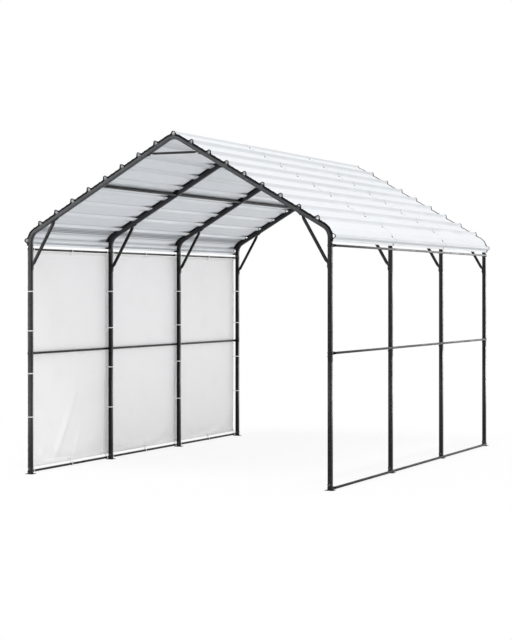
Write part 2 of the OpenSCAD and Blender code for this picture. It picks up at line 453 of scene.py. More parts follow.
def way_to_rim(angle, offset, half_size, corner):
    """How far a ray at each angle from (0, offset) runs to the rim of half the plate: the least
    of the ways to its sides and to lines that touch its rounded outer corners. Also whether
    it is the rim, and not the line where the two halves meet."""
    lean = np.radians([15, 30, 45, 60, 75])
    middle = half_size - corner
    round_off = middle * np.cos(lean) + (middle - offset) * np.sin(lean) + corner
    nx = np.r_[0, 1, -1, 0, np.cos(lean), -np.cos(lean)]
    ny = np.r_[-1, 0, 0, 1, np.sin(lean), np.sin(lean)]
    reach = np.r_[offset, half_size, half_size, half_size - offset, round_off, round_off]
    facing = np.outer(np.cos(angle), nx) + np.outer(np.sin(angle), ny)
    ways = np.where(facing > 1e-6, reach / np.maximum(facing, 1e-6), 9.0)
    return ways.min(1), ways[:, 1:].min(1) < ways[:, 0] + 1e-9


def foot_plate(x, y, thick, half_size):
    """Two half plates, each a ring from its anchor hole to the rim: up the hole, over the top,
    down the cut edge and back along the underside, with the edges drawn in a little."""
    corner = np.arctan2(-ANCHOR_GAP / 2, half_size)
    angle = np.r_[np.linspace(0, 2 * np.pi, 72, endpoint=False), corner + 2 * np.pi, np.pi - corner]
    angle = np.sort(angle)
    way, outer = way_to_rim(angle, ANCHOR_GAP / 2, half_size, PLATE_CORNER)
    ray = np.column_stack([np.cos(angle), np.sin(angle)])
    anchor = np.array([0.0, ANCHOR_GAP / 2])
    hole, mouth = anchor + ANCHOR_R * ray, anchor + (ANCHOR_R + PLATE_EDGE) * ray
    rim = anchor + way[:, None] * ray
    nip = PLATE_EDGE * outer
    drawn_in = rim * (1 - nip / np.maximum(np.linalg.norm(rim, axis=1), PLATE_EDGE))[:, None]
    levels = [(hole, PLATE_EDGE), (hole, thick - PLATE_EDGE), (mouth, thick), (drawn_in, thick),
              (rim, thick - nip), (rim, nip), (drawn_in, 0.0), (mouth, 0.0)]
    half_plate = np.stack([np.column_stack([at, np.broadcast_to(level, way.shape)])
                           for at, level in levels])
    worn = np.array([0, 0, 0, 0.6, 1, 1, 0.6, 0])[:, None]
    near = half_plate * [-1, -1, 1]
    return welded(join([surface(p + [x, y, 0], around=True, onward=True, edge=worn, back=True)
                        for p in (half_plate, near)]))


for f in FRAMES:
    low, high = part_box(f"feet_{f}")
    plates = [foot_plate(side * post_x, (low.y + high.y) / 2, high.z, (high.y - low.y) / 2)
              for side in (-1, 1)]
    piece(f"foot_plates_{f}", join(plates), [frame_coat], [f"feet_{f}"])


# ---------- Bows ----------
# The upper half of each frame: one tube bent cold at both eaves and at the ridge. The bends
# pinch the inner wall a little, and both ends slip into the lower legs and are bolted.

ROOF_PITCH = math.radians(30)
BEND_R = 0.12
PINCH = 0.0016
PINCH_WAVES = 4

bow_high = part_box("bow_front")[1]
ridge_mid = bow_high.z - tube / 2 - BEND_R
ridge_z = ridge_mid + BEND_R / math.cos(ROOF_PITCH)
eave_x = post_x - BEND_R
eave_z = ridge_mid - eave_x * math.tan(ROOF_PITCH)
DOWN = np.array([math.cos(ROOF_PITCH), 0, -math.sin(ROOF_PITCH)])
OUT = np.array([math.sin(ROOF_PITCH), 0, math.cos(ROOF_PITCH)])


def bend_points(mid, radius, start, end, count):
    """Points and outward directions on a circle about mid in the X-Z plane."""
    angle = np.linspace(start, end, count)
    out = np.column_stack([np.cos(angle), np.zeros(count), np.sin(angle)])
    return mid + radius * out, out


def bow_path():
    """The tube's centre line from the left mouth over the ridge to the right mouth, with the
    outward direction and the amount of pinch, a half sine across each bend, at every point."""
    turn = math.pi / 2 - ROOF_PITCH
    left_eave, right_eave = np.array([-eave_x, 0, eave_z]), np.array([eave_x, 0, eave_z])
    ridge = np.array([0, 0, ridge_mid])
    mouth = np.array([0.0004, 0.0004, 0.0016, 0.004])
    rise = np.r_[seam_z + mouth, np.linspace(seam_z + 0.1, eave_z - 0.02, 6)]
    left = np.column_stack([np.full(len(rise), -post_x), np.zeros(len(rise)), rise])
    arcs = [bend_points(left_eave, BEND_R, math.pi, math.pi - turn, 15),
            bend_points(ridge, BEND_R, math.pi / 2 + ROOF_PITCH, math.pi / 2 - ROOF_PITCH, 15),
            bend_points(right_eave, BEND_R, turn, 0.0, 15)]
    swell = np.sin(np.linspace(0, np.pi, 15))
    runs = [(left, np.tile(-X, (len(rise), 1)), np.zeros(len(rise)))]
    for number, (points, out) in enumerate(arcs):
        if number:
            last = runs[-1][0][-1]
            part = np.arange(1, 8)[:, None] / 8
            runs.append((last + (points[0] - last) * part, np.tile(out[0], (7, 1)), np.zeros(7)))
        runs.append((points, out, swell))
    right = left[::-1] * [-1, 1, 1]
    runs.append((right, np.tile(X, (len(rise), 1)), np.zeros(len(rise))))
    return tuple(np.concatenate(column) for column in zip(*runs))


bow_line, bow_out, bow_pinch = bow_path()
bow_inset = np.zeros(len(bow_line))
bow_inset[[0, -1]] = LEG_WALL
bow_inset[[1, -2]] = 0.0006
bow_outline = np.repeat(TUBE_OUTLINE, len(bow_line), 0)
bow_outline[[0, 1, -2, -1]] = shrunk(bow_inset[[0, 1, -2, -1]])
inner_wall = np.exp(-(TUBE_OUTLINE[0, :, 1] / (0.45 * tube)) ** 2) * (TUBE_OUTLINE[0, :, 0] < -0.4 * tube)
waves = 0.6 + 0.4 * np.cos(np.arange(len(bow_line)) / 15 * 2 * np.pi * PINCH_WAVES)
bow_outline[..., 0] += PINCH * (bow_pinch * waves)[:, None] * inner_wall

# The bows take a paler colour under the roof: painted light on the rafters.
bow_coat = powder_coat("bow_coat", DARK_GREY, WORN_GREY, 0.31, 0.10,
                       painted_light_under_roof=(0.040, 0.042, 0.046, 1.0))
for f, y in zip(FRAMES, frame_y):
    line = bow_line + y * Y
    bow = carried(line, bow_out, -Y, bow_outline, edge=corner_mask())
    piece(f"bow_tube_{f}", bow, [bow_coat], [f"bow_{f}"])


# ---------- Knee braces and collar ties ----------
# Square tubes, 25 mm in the knee braces and 20 mm in the collar ties. Their ends are pressed
# flat, bent to lie along the frame, and bolted across the eave corners and under the ridge.

BRACE_CORNER = 0.003
TAB_THICK = 0.0038
TAB_SPREAD = 1.4
TAB_LONG = 0.044
PRESS_LONG = 0.034
TAB_BEND = 0.012


def smooth(x):
    """0 below 0, 1 above 1 and 3x^2 - 2x^3 between."""
    x = np.clip(x, 0, 1)
    return x * x * (3 - 2 * x)


def bent_line(corners, bend, step):
    """A polyline in the X-Z plane with its inner corners rounded by quadratic curves that
    start and end a length bend from each, sampled about every step."""
    corners = np.asarray(corners, float)
    runs = [corners[:1]]
    for before, at, after in zip(corners, corners[1:], corners[2:]):
        come = at + (before - at) * bend / np.linalg.norm(before - at)
        go = at + (after - at) * bend / np.linalg.norm(after - at)
        t = np.linspace(0, 1, 7)[:, None]
        curve = (1 - t) ** 2 * come + 2 * t * (1 - t) * at + t ** 2 * go
        runs += [stretch(runs[-1][-1], come, step), curve]
    runs.append(stretch(runs[-1][-1], corners[-1], step))
    return np.concatenate(runs + [corners[-1:]])


def stretch(start, end, step):
    """Even points between two ends, without the ends."""
    count = max(int(np.linalg.norm(end - start) / step), 1)
    return start + (end - start) * (np.arange(1, count) / count)[:, None]


def pressed_bar(corners, y, size):
    """A square tube along the bent line whose section goes smoothly from a flat tab at each end
    to the full square: its thickness and width are blends by the distance past the bend."""
    line = bent_line(corners, TAB_BEND, 0.008)
    way = walked(line)
    from_end = np.minimum(way, way[-1] - way)
    full = smooth((from_end - TAB_LONG) / PRESS_LONG)
    thick = TAB_THICK + (size - TAB_THICK) * full
    wide = size * (TAB_SPREAD + (1 - TAB_SPREAD) * full)
    wide = wide * (0.72 + 0.28 * smooth(from_end / 0.009))
    corner = np.minimum(BRACE_CORNER, 0.45 * thick)
    along = directions(line)
    centre = np.column_stack([line[:, 0], np.full(len(line), y), line[:, 1]])
    side = np.column_stack([-along[:, 1], np.zeros(len(line)), along[:, 0]])
    up = np.cross(np.column_stack([along[:, 0], np.zeros(len(line)), along[:, 1]]), side)
    return carried(centre, side, up, rounded_rect(thick, wide, corner, 3, 2), edge=corner_mask(3, 2))


knee_low, knee_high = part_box("knee_braces_front")
collar_low, collar_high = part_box("collar_ties")
post_in = post_x - tube / 2
under_z = ridge_z - tube / 2 / math.cos(ROOF_PITCH)
SLOPE = np.array([math.cos(ROOF_PITCH), -math.sin(ROOF_PITCH)])
RAFTER_IN = np.array([-math.sin(ROOF_PITCH), -math.cos(ROOF_PITCH)])


def under_rafter(s, off=0.0):
    """X and Z at s along the slope from the ridge line, off below the right rafter's face."""
    return np.array([0, under_z]) + s * SLOPE + off * RAFTER_IN


knee_size, collar_size = knee_high.y - knee_low.y, collar_high.z - collar_low.z
square_cut = knee_size / 2 / math.sin((math.pi / 2 - ROOF_PITCH) / 2)
knee_foot_z = knee_low.z + square_cut
knee_head_s = (under_z - knee_high.z) / math.sin(ROOF_PITCH) + square_cut
collar_z = (collar_low.z + collar_high.z) / 2
collar_s = (under_z - collar_z) / math.sin(ROOF_PITCH)
knee_corners = np.array([
    [post_in - TAB_THICK / 2, knee_foot_z - TAB_LONG], [post_in - TAB_THICK / 2, knee_foot_z],
    under_rafter(knee_head_s, TAB_THICK / 2), under_rafter(knee_head_s - TAB_LONG, TAB_THICK / 2),
])
collar_half = np.array([under_rafter(collar_s, TAB_THICK / 2),
                        under_rafter(collar_s + TAB_LONG, TAB_THICK / 2)])
collar_corners = np.concatenate([collar_half[::-1] * [-1, 1], collar_half])

for f, y in zip(FRAMES, frame_y):
    pair = [pressed_bar(knee_corners * [side, 1], y, knee_size) for side in (-1, 1)]
    piece(f"knee_brace_pair_{f}", join(pair), [frame_coat], [f"knee_braces_{f}"])
piece("collar_tie_bars", join([pressed_bar(collar_corners, y, collar_size) for y in frame_y]),
      [frame_coat], ["collar_ties"])


# ---------- Purlins ----------
# One 25 mm square tube a bay on each slope, between the rafters. A small plate welded across
# each end is bolted to the rafter's side.

PURLIN_CORNER = 0.003
CLIP_LONG = 0.070
CLIP_HIGH = 0.030
CLIP_THICK = 0.0025
CLIP_BOLT = 0.024


def block(centre, along, side, length, width, height, corner, nip):
    """A plate or short bar: a rounded outline carried a length, its end rings drawn in by nip."""
    up = np.cross(along, side)
    ends = np.array([-length / 2, nip - length / 2, length / 2 - nip, length / 2])
    line = np.asarray(centre)[None] + ends[:, None] * along
    draw = 2 * nip * np.array([1, 0, 0, 1])
    outline = rounded_rect(width - draw, height - draw, corner, 3, 2)
    return carried(line, side, up, outline, edge=corner_mask(3, 2))


purlin_low, purlin_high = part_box("purlins_right")
purlin_mid = np.array([purlin_low.x + purlin_high.x, 0, purlin_low.z + purlin_high.z]) / 2
purlin_size = (purlin_high.x - purlin_low.x) / (math.cos(ROOF_PITCH) + math.sin(ROOF_PITCH))
for side, name in FLANKS:
    flip = np.array([side, 1, 1])
    shapes = []
    for near, far in zip(frame_y[:-1] + tube / 2, frame_y[1:] - tube / 2):
        middle = purlin_mid * flip + (near + far) / 2 * Y
        length = far - near - 2 * CLIP_THICK
        shapes.append(block(middle, Y, OUT * flip, length, purlin_size, purlin_size,
                            PURLIN_CORNER, 0.0003))
        for y in (near + CLIP_THICK / 2, far - CLIP_THICK / 2):
            shapes.append(block(purlin_mid * flip + y * Y, Y, OUT * flip, CLIP_THICK, CLIP_HIGH,
                                CLIP_LONG, 0.004, 0.0005))
    piece(f"purlin_tubes_{name}", join(shapes), [frame_coat], [f"purlins_{name}"])


# ---------- Rails ----------
# Three 20 mm square tubes along each side, on the outer faces of the posts. Each is made up
# of one length a bay, butted at the middle frames, and pressed flat over the outer posts.

RAIL_CORNER = 0.003
JOINT_DEEP = 0.0009
RAIL_TAB = 0.0040
RAIL_TAB_LONG = 0.040
RAIL_PRESS = 0.022
RAIL_SPREAD = 1.38

rail_coat = powder_coat("rail_coat", (0.010, 0.010, 0.0105, 1.0), (0.07, 0.071, 0.073, 1.0),
                        0.38, 0.06)
RAILS = [(f"{level}_rail_{s}", s) for level in ("top", "mid", "bottom") for s in SIDES]


def rail_tube(low, high, way):
    """A rail along Y on the posts' outer faces. By the way from its nearer end its thickness goes
    smoothly from the tab's to the square's and its height from the spread tab's, while its
    inner face stays on the posts; a fine groove marks each joint."""
    size = high.z - low.z
    from_end = np.r_[0, 0.0005, 0.003, 0.006, 0.010, 0.02, RAIL_TAB_LONG + RAIL_PRESS * np.linspace(0, 1, 9)]
    grooves = (frame_y[1:-1][:, None] + np.array([-7, 0, 7]) * 1e-4).ravel()
    stops = np.r_[low.y + from_end, grooves, high.y - from_end[::-1]]
    near = np.minimum(stops - low.y, high.y - stops)
    full = smooth((near - RAIL_TAB_LONG) / RAIL_PRESS)
    sunk = JOINT_DEEP * (np.abs(stops[:, None] - frame_y[1:-1]).min(1) < 1e-5) + 0.0004 * (near < 1e-5)
    thick = RAIL_TAB + (size - RAIL_TAB) * full
    tall = size * (RAIL_SPREAD + (1 - RAIL_SPREAD) * full) * (0.72 + 0.28 * smooth(near / 0.010))
    outline = rounded_rect(tall - 2 * sunk, thick - 2 * sunk, np.minimum(RAIL_CORNER, 0.35 * thick))
    line = np.column_stack([way * (post_x + tube / 2 + thick / 2), stops,
                            np.full(len(stops), (low.z + high.z) / 2)])
    return carried(line, Z, X, outline, edge=corner_mask())


for rail, s in RAILS:
    shape = rail_tube(*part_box(rail), -1 if s == "left" else 1)
    piece(f"{rail}_tube", shape, [rail_coat], [rail])


# ---------- Bolts and nuts ----------
# Zinc-plated carriage bolts, blackened to match the frame, with washers and hexagon nuts on
# the inner faces. They hold feet, splices, rails, braces, ties and purlins.

BOLT_R = 0.003
HEAD_R = 0.0078
HEAD_HIGH = 0.0036
LOW_HEAD_HIGH = 0.0022
WASHER_R = 0.0086
WASHER_THICK = 0.0014
NUT_FLAT = 0.0065
NUT_HIGH = 0.0052
SPLICE_BOLT_RISE = 0.046
FOOT_BOLT_Z = 0.046
TAB_BOLT = 0.022


def turned(rows, spot, axis, sides):
    """A profile of (radius, height, hexagon) rows turned about an axis through spot. At angle a
    a radius r becomes r / cos((a + 30) mod 60 - 30) by the share that the row is a hexagon."""
    rows = np.asarray(rows, float)
    axis = np.asarray(axis, float)
    side = np.cross(axis, Z if abs(axis[2]) < 0.7 else Y)
    side /= np.linalg.norm(side)
    up = np.cross(axis, side)
    angle = np.linspace(0, 2 * np.pi, sides, endpoint=False)
    flat = 1 / np.cos((angle + np.pi / 6) % (np.pi / 3) - np.pi / 6)
    r = rows[:, :1] * (1 + rows[:, 2:] * (flat - 1))
    points = (np.asarray(spot) + rows[:, 1:2, None] * axis + (r * np.cos(angle))[..., None] * side
              + (r * np.sin(angle))[..., None] * up)
    return join([surface(points, around=True), lid(points[0], back=True), lid(points[-1])])


def head(spot, axis, high=HEAD_HIGH):
    """A domed carriage head, its foot sunk a hair into the face it sits on."""
    share = np.array([[1.0, -0.1], [1.0, 0.14], [0.93, 0.42], [0.72, 0.72], [0.42, 0.92], [0.13, 1.0]])
    return turned(np.column_stack([share * [HEAD_R, high], np.zeros(6)]), spot, axis, 16)


def nut(spot, axis):
    """A washer, a chamfered hexagon nut and the bolt's end, as one turned stack."""
    top = WASHER_THICK + NUT_HIGH
    return turned([
        (WASHER_R, -0.0003, 0), (WASHER_R, WASHER_THICK - 0.0003, 0),
        (WASHER_R - 0.0003, WASHER_THICK, 0), (NUT_FLAT - 0.0002, WASHER_THICK, 1),
        (NUT_FLAT, WASHER_THICK + 0.0004, 1), (NUT_FLAT, top - 0.0008, 1),
        (NUT_FLAT - 0.0008, top, 0.2), (BOLT_R, top, 0), (BOLT_R, top + 0.0022, 0),
        (BOLT_R - 0.0006, top + 0.0028, 0)], spot, axis, 24)


def zinc(name, colour, roughness):
    """Plated steel: cloudy zinc crystals in tone and roughness, with dulled spots."""
    made, tree, paint = finish(name, roughness, metallic=0.85)
    place = object_place(tree)
    crystal = pattern(tree, "Voronoi", place, Scale=260.0)
    dull = pattern(tree, "Noise", place, Scale=60.0, Detail=3.0)
    base = blended(tree, mapped(tree, crystal, 0.1, 0.6), colour, shaded(colour, 1.35))
    spotted = blended(tree, mapped(tree, dull, 0.55, 0.75, 0.0, 0.5), base, shaded(colour, 0.5))
    painted(tree, paint, spotted, mapped(tree, dull, 0.3, 0.7, roughness - 0.08, roughness + 0.12))
    bumped(tree, paint, crystal, 0.0002, 0.3)
    return made


black_zinc = zinc("blackened_zinc", (0.070, 0.072, 0.075, 1.0), 0.42)
rail_boxes = {rail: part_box(rail) for rail, s in RAILS}
for f, y in zip(FRAMES, frame_y):
    shapes = []
    for side, s in FLANKS:
        way = side * X
        outer, inner = side * (post_x + tube / 2), side * post_in
        for z in (FOOT_BOLT_Z, seam_z + SPLICE_BOLT_RISE):
            shapes += [head([outer, y, z], way, LOW_HEAD_HIGH), nut([inner, y, z], -way)]
        shapes += [head([side * post_x, y - tube / 2, FOOT_BOLT_Z], -Y),
                   nut([side * post_x, y + tube / 2, FOOT_BOLT_Z], Y)]
        for level in ("top", "mid", "bottom"):
            low, high = rail_boxes[f"{level}_rail_{s}"]
            z = (low.z + high.z) / 2
            lapped = RAIL_TAB if f in ("front", "rear") else high.x - low.x
            shapes += [head([outer + side * lapped, y, z], way, LOW_HEAD_HIGH), nut([inner, y, z], -way)]
        z = knee_foot_z - TAB_BOLT
        shapes += [head([outer, y, z], way, LOW_HEAD_HIGH),
                   nut([side * (post_in - TAB_THICK), y, z], -way)]
        for at_s in (knee_head_s - TAB_BOLT, collar_s + TAB_BOLT):
            x, z = under_rafter(at_s, TAB_THICK) * [side, 1]
            shapes.append(nut([x, y, z], np.array([side * RAFTER_IN[0], 0, RAFTER_IN[1]])))
        for shift in (-CLIP_BOLT, CLIP_BOLT):
            x, z = (purlin_mid + shift * DOWN)[[0, 2]] * [side, 1]
            for turn in (-1, 1):
                outside = (f == FRAMES[0] and turn < 0) or (f == FRAMES[-1] and turn > 0)
                face = y + turn * (tube / 2 + (0 if outside else CLIP_THICK))
                shapes.append((head if outside else nut)([x, face, z], turn * Y))
    piece(f"frame_bolts_{f}", join(shapes), [black_zinc])


# ---------- Roof sheets ----------
# Two rolled steel sheets a bay, white outside with a pale grey backing coat. Eight hollow ribs
# run lengthwise on each slope and a ninth below the eave bend. Sheet ends lap over a rafter.

SHEET_THICK = 0.0009
SHEET_SEAT = 0.0044
RIB_HIGH = 0.030
RIB_BASE = 0.051
RIB_TOP = 0.016
RIB_PITCH = 0.200
RIB_START = 0.188
RIBS = 8
RIB_SOFT = 0.20
CREASE_HIGH = 0.0022
CREASE_BASE = 0.020
CREASE_TOP = 0.007
EAVE_RIB_Z = 2.176
SHEET_TOP_S = 0.080
LAP = 0.014
LAP_LIFT = 0.0012
RIPPLE = 0.0005
# How far the painted shadow streaks under the roof reach in front of each frame.
STREAKS = 0.36
# Lines of painted shade under the eave bend, by their distance up from the eave rib.
EAVE_SHADE_LINES = np.array([0.184, 0.158, 0.134, 0.112, 0.086, 0.030, -0.018])


def ramp(x, soft):
    """0 below 0, x between and 1 above 1, with parabolas of half width soft at both corners."""
    foot = np.clip(x + soft, 0, 2 * soft) ** 2 / (4 * soft)
    top = np.clip(1 + soft - x, 0, 2 * soft) ** 2 / (4 * soft)
    return np.where(x < 0.5, np.where(x > soft, x, foot), np.where(x < 1 - soft, x, 1 - top))


def rolled(s, middles, base, top, high):
    """Height of rolled ribs at s: high times a ramp up from half the base to half the top."""
    away = np.abs(s[:, None] - middles[None]).min(1)
    return high * ramp((base / 2 - away) / ((base - top) / 2), RIB_SOFT)


def rib_stations(middles, base, top, corner=(-1, -0.35, 0.35, 1)):
    """Where to cut a rib's outline: close together in its four soft corners."""
    soft = RIB_SOFT * np.array(corner)
    x = np.r_[soft, 0.5, 1 + soft]
    half = base / 2 - x * (base - top) / 2
    return (middles[:, None] + np.r_[half, 0, -half]).ravel()


seat_r = BEND_R + tube / 2 + SHEET_SEAT
slope_s = (eave_x + BEND_R * math.sin(ROOF_PITCH)) / math.cos(ROOF_PITCH)
bend_s = slope_s + seat_r * (math.pi / 2 - ROOF_PITCH)
sheet_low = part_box("roof_front_right")[0]
eave_rib_s = bend_s - (EAVE_RIB_Z - eave_z)
sheet_end_s = bend_s + eave_z - sheet_low.z
rib_s = np.r_[RIB_START + RIB_PITCH * np.arange(RIBS), eave_rib_s]
crease_s = (rib_s[:-1, None] + np.diff(rib_s)[:, None] * np.array([0.36, 0.64])).ravel()


def bell(away, width):
    """1 in the middle, falling off both ways as exp(-(away / width)^2)."""
    return np.exp(-(away / width) ** 2)


def side_line(s):
    """The rafter's centre line and outward direction by the seat's length s from the ridge: a
    straight slope, an arc about the eave centre, then straight down the post."""
    angle = (math.pi / 2 - ROOF_PITCH) - np.clip((s - slope_s) / seat_r, 0, math.pi / 2 - ROOF_PITCH)
    out = np.column_stack([np.cos(angle), np.zeros(len(s)), np.sin(angle)])
    base = np.array([eave_x, 0, eave_z]) + BEND_R * out
    base += np.minimum(s - slope_s, 0)[:, None] * DOWN - np.maximum(s - bend_s, 0)[:, None] * Z
    return base, out


def painted_underside_shading(s, height, ys, near_frames):
    """Painted light and shade for the under side, from 1, painted light in the rib hollows, to -1,
    the darkest painted shade: a shaded line above each rib, shade over the eave bend and on the
    lines about it, painted light on a line above the eave rib and on the strip below it, and
    painted shadow streaks beside the ribs that fade over STREAKS in front of each frame, where the
    hollows are painted brightest."""
    hollow = smooth(height / (0.5 * RIB_HIGH))
    from_rib = s[:, None] - rib_s[None]
    line = bell(from_rib[:, :-1] + 0.037, 0.006).sum(1)
    bend = smooth((s - slope_s + 0.060) / 0.03) * smooth((slope_s + 0.045 - s) / 0.02)
    grooves = bell(s[:, None] - (rib_s[-1] - EAVE_SHADE_LINES), 0.006).sum(1)
    bright = bell(from_rib[:, -1] + 0.056, 0.012) + smooth((from_rib[:, -1] - 0.022) / 0.01)
    across = 0.5 * bright - 0.40 * line - 0.30 * bend - 0.55 * grooves
    beside = bell(from_rib + 0.042, 0.017).sum(1)
    further = bell(from_rib - 0.040, 0.008).sum(1)
    before = near_frames[None] - ys[:, None]
    fade = np.where(before >= -0.04, smooth(1 - before / STREAKS), 0.0).max(1)
    # rubbed holds painted shadow streaks beside the ribs, strongest just in front of each frame
    rubbed = 2.4 * beside[:, None] * fade[None] ** 2 + 0.9 * further[:, None] * fade[None] ** 2
    lit = hollow[:, None] * (0.42 + 0.58 * fade[None] ** 12)
    return np.clip(across[:, None] + lit - rubbed, -1, 1)


def sheet_shell(line, height, ys, lift, flip, tone=None):
    """A thin rolled sheet: the line's points moved out by seat, rib height, lap lift and ripple,
    for every y, and the same again less the thickness, closed round its four edges."""
    s, base, out = line
    ripple = RIPPLE * np.sin(9.0 * ys[None] + 31.0 * s[:, None]) * np.sin(17.0 * s[:, None] + 2.0)
    level = tube / 2 + SHEET_SEAT + height[:, None] + lift[None] + ripple
    rise = np.gradient(height, s)
    wall = SHEET_THICK * np.sqrt(1 + np.minimum(rise ** 2, 4.0))
    flank = np.array([flip, 1, 1])
    top, under = [(base[:, None] + (level - t[:, None])[..., None] * out[:, None]
                   + ys[None, :, None] * Y) * flank for t in (0 * wall, wall)]
    # The top face's edge attribute is the rib mask, by which the outer paint paints shade on the ribs; the
    # under face takes the given tone of painted light and shade, or else the same mask, for painted light in
    # the hollows.
    hollow = smooth(height / (0.5 * RIB_HIGH))
    outside = np.broadcast_to(hollow[:, None], (len(s), len(ys)))
    tone = outside if tone is None else tone
    row = np.repeat(np.arange(2 * len(s)), len(ys) - 1)
    which = np.r_[row >= len(s) - 1, np.ones(2 * (len(s) - 1))]
    return thin_body(top, under, flip, edge=np.concatenate([outside, tone[::-1]])), which


def bay_ys(i, rows=20):
    """Stations along a bay's sheet: it runs past the middle frames by a lap, cut finely there."""
    near = roof_low.y if i == 0 else frame_y[i] - LAP
    far = roof_high.y if i == 2 else frame_y[i + 1] + LAP
    ends = np.array([0.0, 0.012, 0.03, 0.06])
    return np.r_[near + ends, np.linspace(near + 0.1, far - 0.1, rows), far - ends[::-1]]


def lap_lift(ys, i):
    """How far a sheet rides over the next one's end: nothing, but LAP_LIFT over its last 60 mm."""
    return LAP_LIFT * smooth((ys - ys[-1] + 0.06) / 0.05) if i < 2 else 0 * ys


def sheet_coat(name, colour, rib_painted_tone, dull, roughness, cloud, shine):
    """Coil-coated steel: even paint with faint clouds, fine flow marks along the sheet and
    streaks of dust along it. As the edge attribute goes up to 1 the colour goes over to the rib
    colour, painted shade on the ribs outside and painted light in the hollows beneath, and as
    it goes below zero to a colour of painted shade."""
    made, tree, paint = finish(name, roughness, specular=shine)
    place = object_place(tree)
    streak = pattern(tree, "Noise", stretched(tree, place, (60.0, 1.2, 60.0)), Scale=1.0, Detail=3.0)
    patch = pattern(tree, "Noise", place, Scale=2.2, Detail=4.0, Roughness=0.6)
    flow = pattern(tree, "Noise", place, Scale=240.0, Detail=2.0)
    both = math_node(tree, "MULTIPLY", mapped(tree, streak, 0.35, 0.75), mapped(tree, patch, 0.35, 0.75))
    rib = node(tree, "ShaderNodeAttribute", attribute_name="edge").outputs["Fac"]
    # painted light and shade by the edge attribute: the rib colour up to 1, and below zero the dull colour,
    # which is painted shade
    ribbed = blended(tree, mapped(tree, rib, 0.0, 1.0), colour, rib_painted_tone)
    with_painted_shade = blended(tree, mapped(tree, rib, -1.0, 0.0, 1.0, 0.0), ribbed, dull)
    base = blended(tree, math_node(tree, "MULTIPLY", both, cloud), with_painted_shade, (0.60, 0.62, 0.63, 1.0))
    painted(tree, paint, base, mapped(tree, patch, 0.3, 0.7, roughness - 0.04, roughness + 0.08))
    bumped(tree, paint, flow, 0.0002, 0.25)
    return made


ROOF_WHITE = (0.81, 0.83, 0.855, 1.0)
# Outside, the ribs are painted darker than the pans: painted shade on the rib flanks.
roof_paint = sheet_coat("roof_paint", ROOF_WHITE, (0.69, 0.71, 0.735, 1.0), ROOF_WHITE, 0.50, 0.12, 0.10)
# Beneath, the rib hollows are painted paler, painted light, and the darkest places go near black, painted
# shade.
roof_backing = sheet_coat("roof_backing_coat", (0.62, 0.645, 0.675, 1.0), (0.86, 0.87, 0.88, 1.0),
                          (0.13, 0.14, 0.155, 1.0), 0.42, 0.22, 0.25)
roof_low, roof_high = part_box("bow_front")[0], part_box("bow_rear")[1]
BAYS = ["front", "middle", "rear"]
pan_s = np.r_[np.linspace(SHEET_TOP_S, RIB_START - 0.035, 5),
              (rib_s[:-2, None] + RIB_PITCH * np.array([0.2, 0.27, 0.44, 0.5, 0.56, 0.73, 0.8])).ravel(),
              (rib_s[:-1, None] + np.array([-0.062, -0.056, -0.050, -0.043, -0.037, -0.031,
                                            0.031, 0.037, 0.050, 0.056, 0.062])).ravel(),
              np.linspace(rib_s[-2] + 0.036, rib_s[-1] - 0.030, 26),
              np.linspace(rib_s[-1] + 0.030, sheet_end_s, 6)]
sheet_s = np.unique(np.round(np.r_[pan_s, rib_stations(rib_s, RIB_BASE, RIB_TOP),
                                   rib_stations(crease_s, CREASE_BASE, CREASE_TOP, (-1, 0, 1))], 6))
sheet_height = (rolled(sheet_s, rib_s, RIB_BASE, RIB_TOP, RIB_HIGH)
                + rolled(sheet_s, crease_s, CREASE_BASE, CREASE_TOP, CREASE_HIGH))
side_base, side_out = side_line(sheet_s)
for i, bay in enumerate(BAYS):
    ys = bay_ys(i)
    # painted light and shade for this bay's under side
    tone = painted_underside_shading(sheet_s, sheet_height, ys, frame_y[1:] - tube / 2)
    for side, s in FLANKS:
        shell, which = sheet_shell((sheet_s, side_base, side_out), sheet_height, ys,
                                   lap_lift(ys, i), side, tone)
        piece(f"roof_sheet_{bay}_{s}", welded(shell), [roof_paint, roof_backing],
              [f"roof_{bay}_{s}"], crease=50, which=which)


# ---------- Ridge caps ----------
# A rolled cap a bay over the gap between the slopes, bent round the ridge with one rib on
# top. It lies on the side sheets and is screwed through them.

CAP_HALF = 0.104
CAP_LIFT = 0.0012

cap_bend = seat_r * ROOF_PITCH
cap_end = cap_bend + CAP_HALF - BEND_R * math.tan(ROOF_PITCH)
cap_s = np.unique(np.round(np.r_[rib_stations(np.zeros(1), RIB_BASE, RIB_TOP),
                                 np.linspace(0.032, cap_end, 10), -np.linspace(0.032, cap_end, 10)], 6))


def ridge_line(s):
    """The bow's centre line and outward direction by the seat's length s from the top of the
    ridge: an arc about the ridge centre that runs on straight down both slopes."""
    angle = math.pi / 2 - np.clip(s / seat_r, -ROOF_PITCH, ROOF_PITCH)
    out = np.column_stack([np.cos(angle), np.zeros(len(s)), np.sin(angle)])
    along = np.column_stack([out[:, 2], np.zeros(len(s)), -out[:, 0]])
    past = s - np.clip(s, -cap_bend, cap_bend)
    return np.array([0, 0, ridge_mid]) + BEND_R * out + past[:, None] * along, out


cap_height = rolled(cap_s, np.zeros(1), RIB_BASE, RIB_TOP, RIB_HIGH)
cap_base, cap_out = ridge_line(cap_s)
for i, bay in enumerate(BAYS):
    ys = bay_ys(i)
    # with no tone given, the cap's under side takes the rib mask: painted light in its hollow
    shell, which = sheet_shell((cap_s, cap_base, cap_out), cap_height, ys,
                               CAP_LIFT + lap_lift(ys, i), 1)
    piece(f"ridge_cap_{bay}_sheet", welded(shell), [roof_paint, roof_backing],
          [f"ridge_cap_{bay}"], crease=50, which=which)


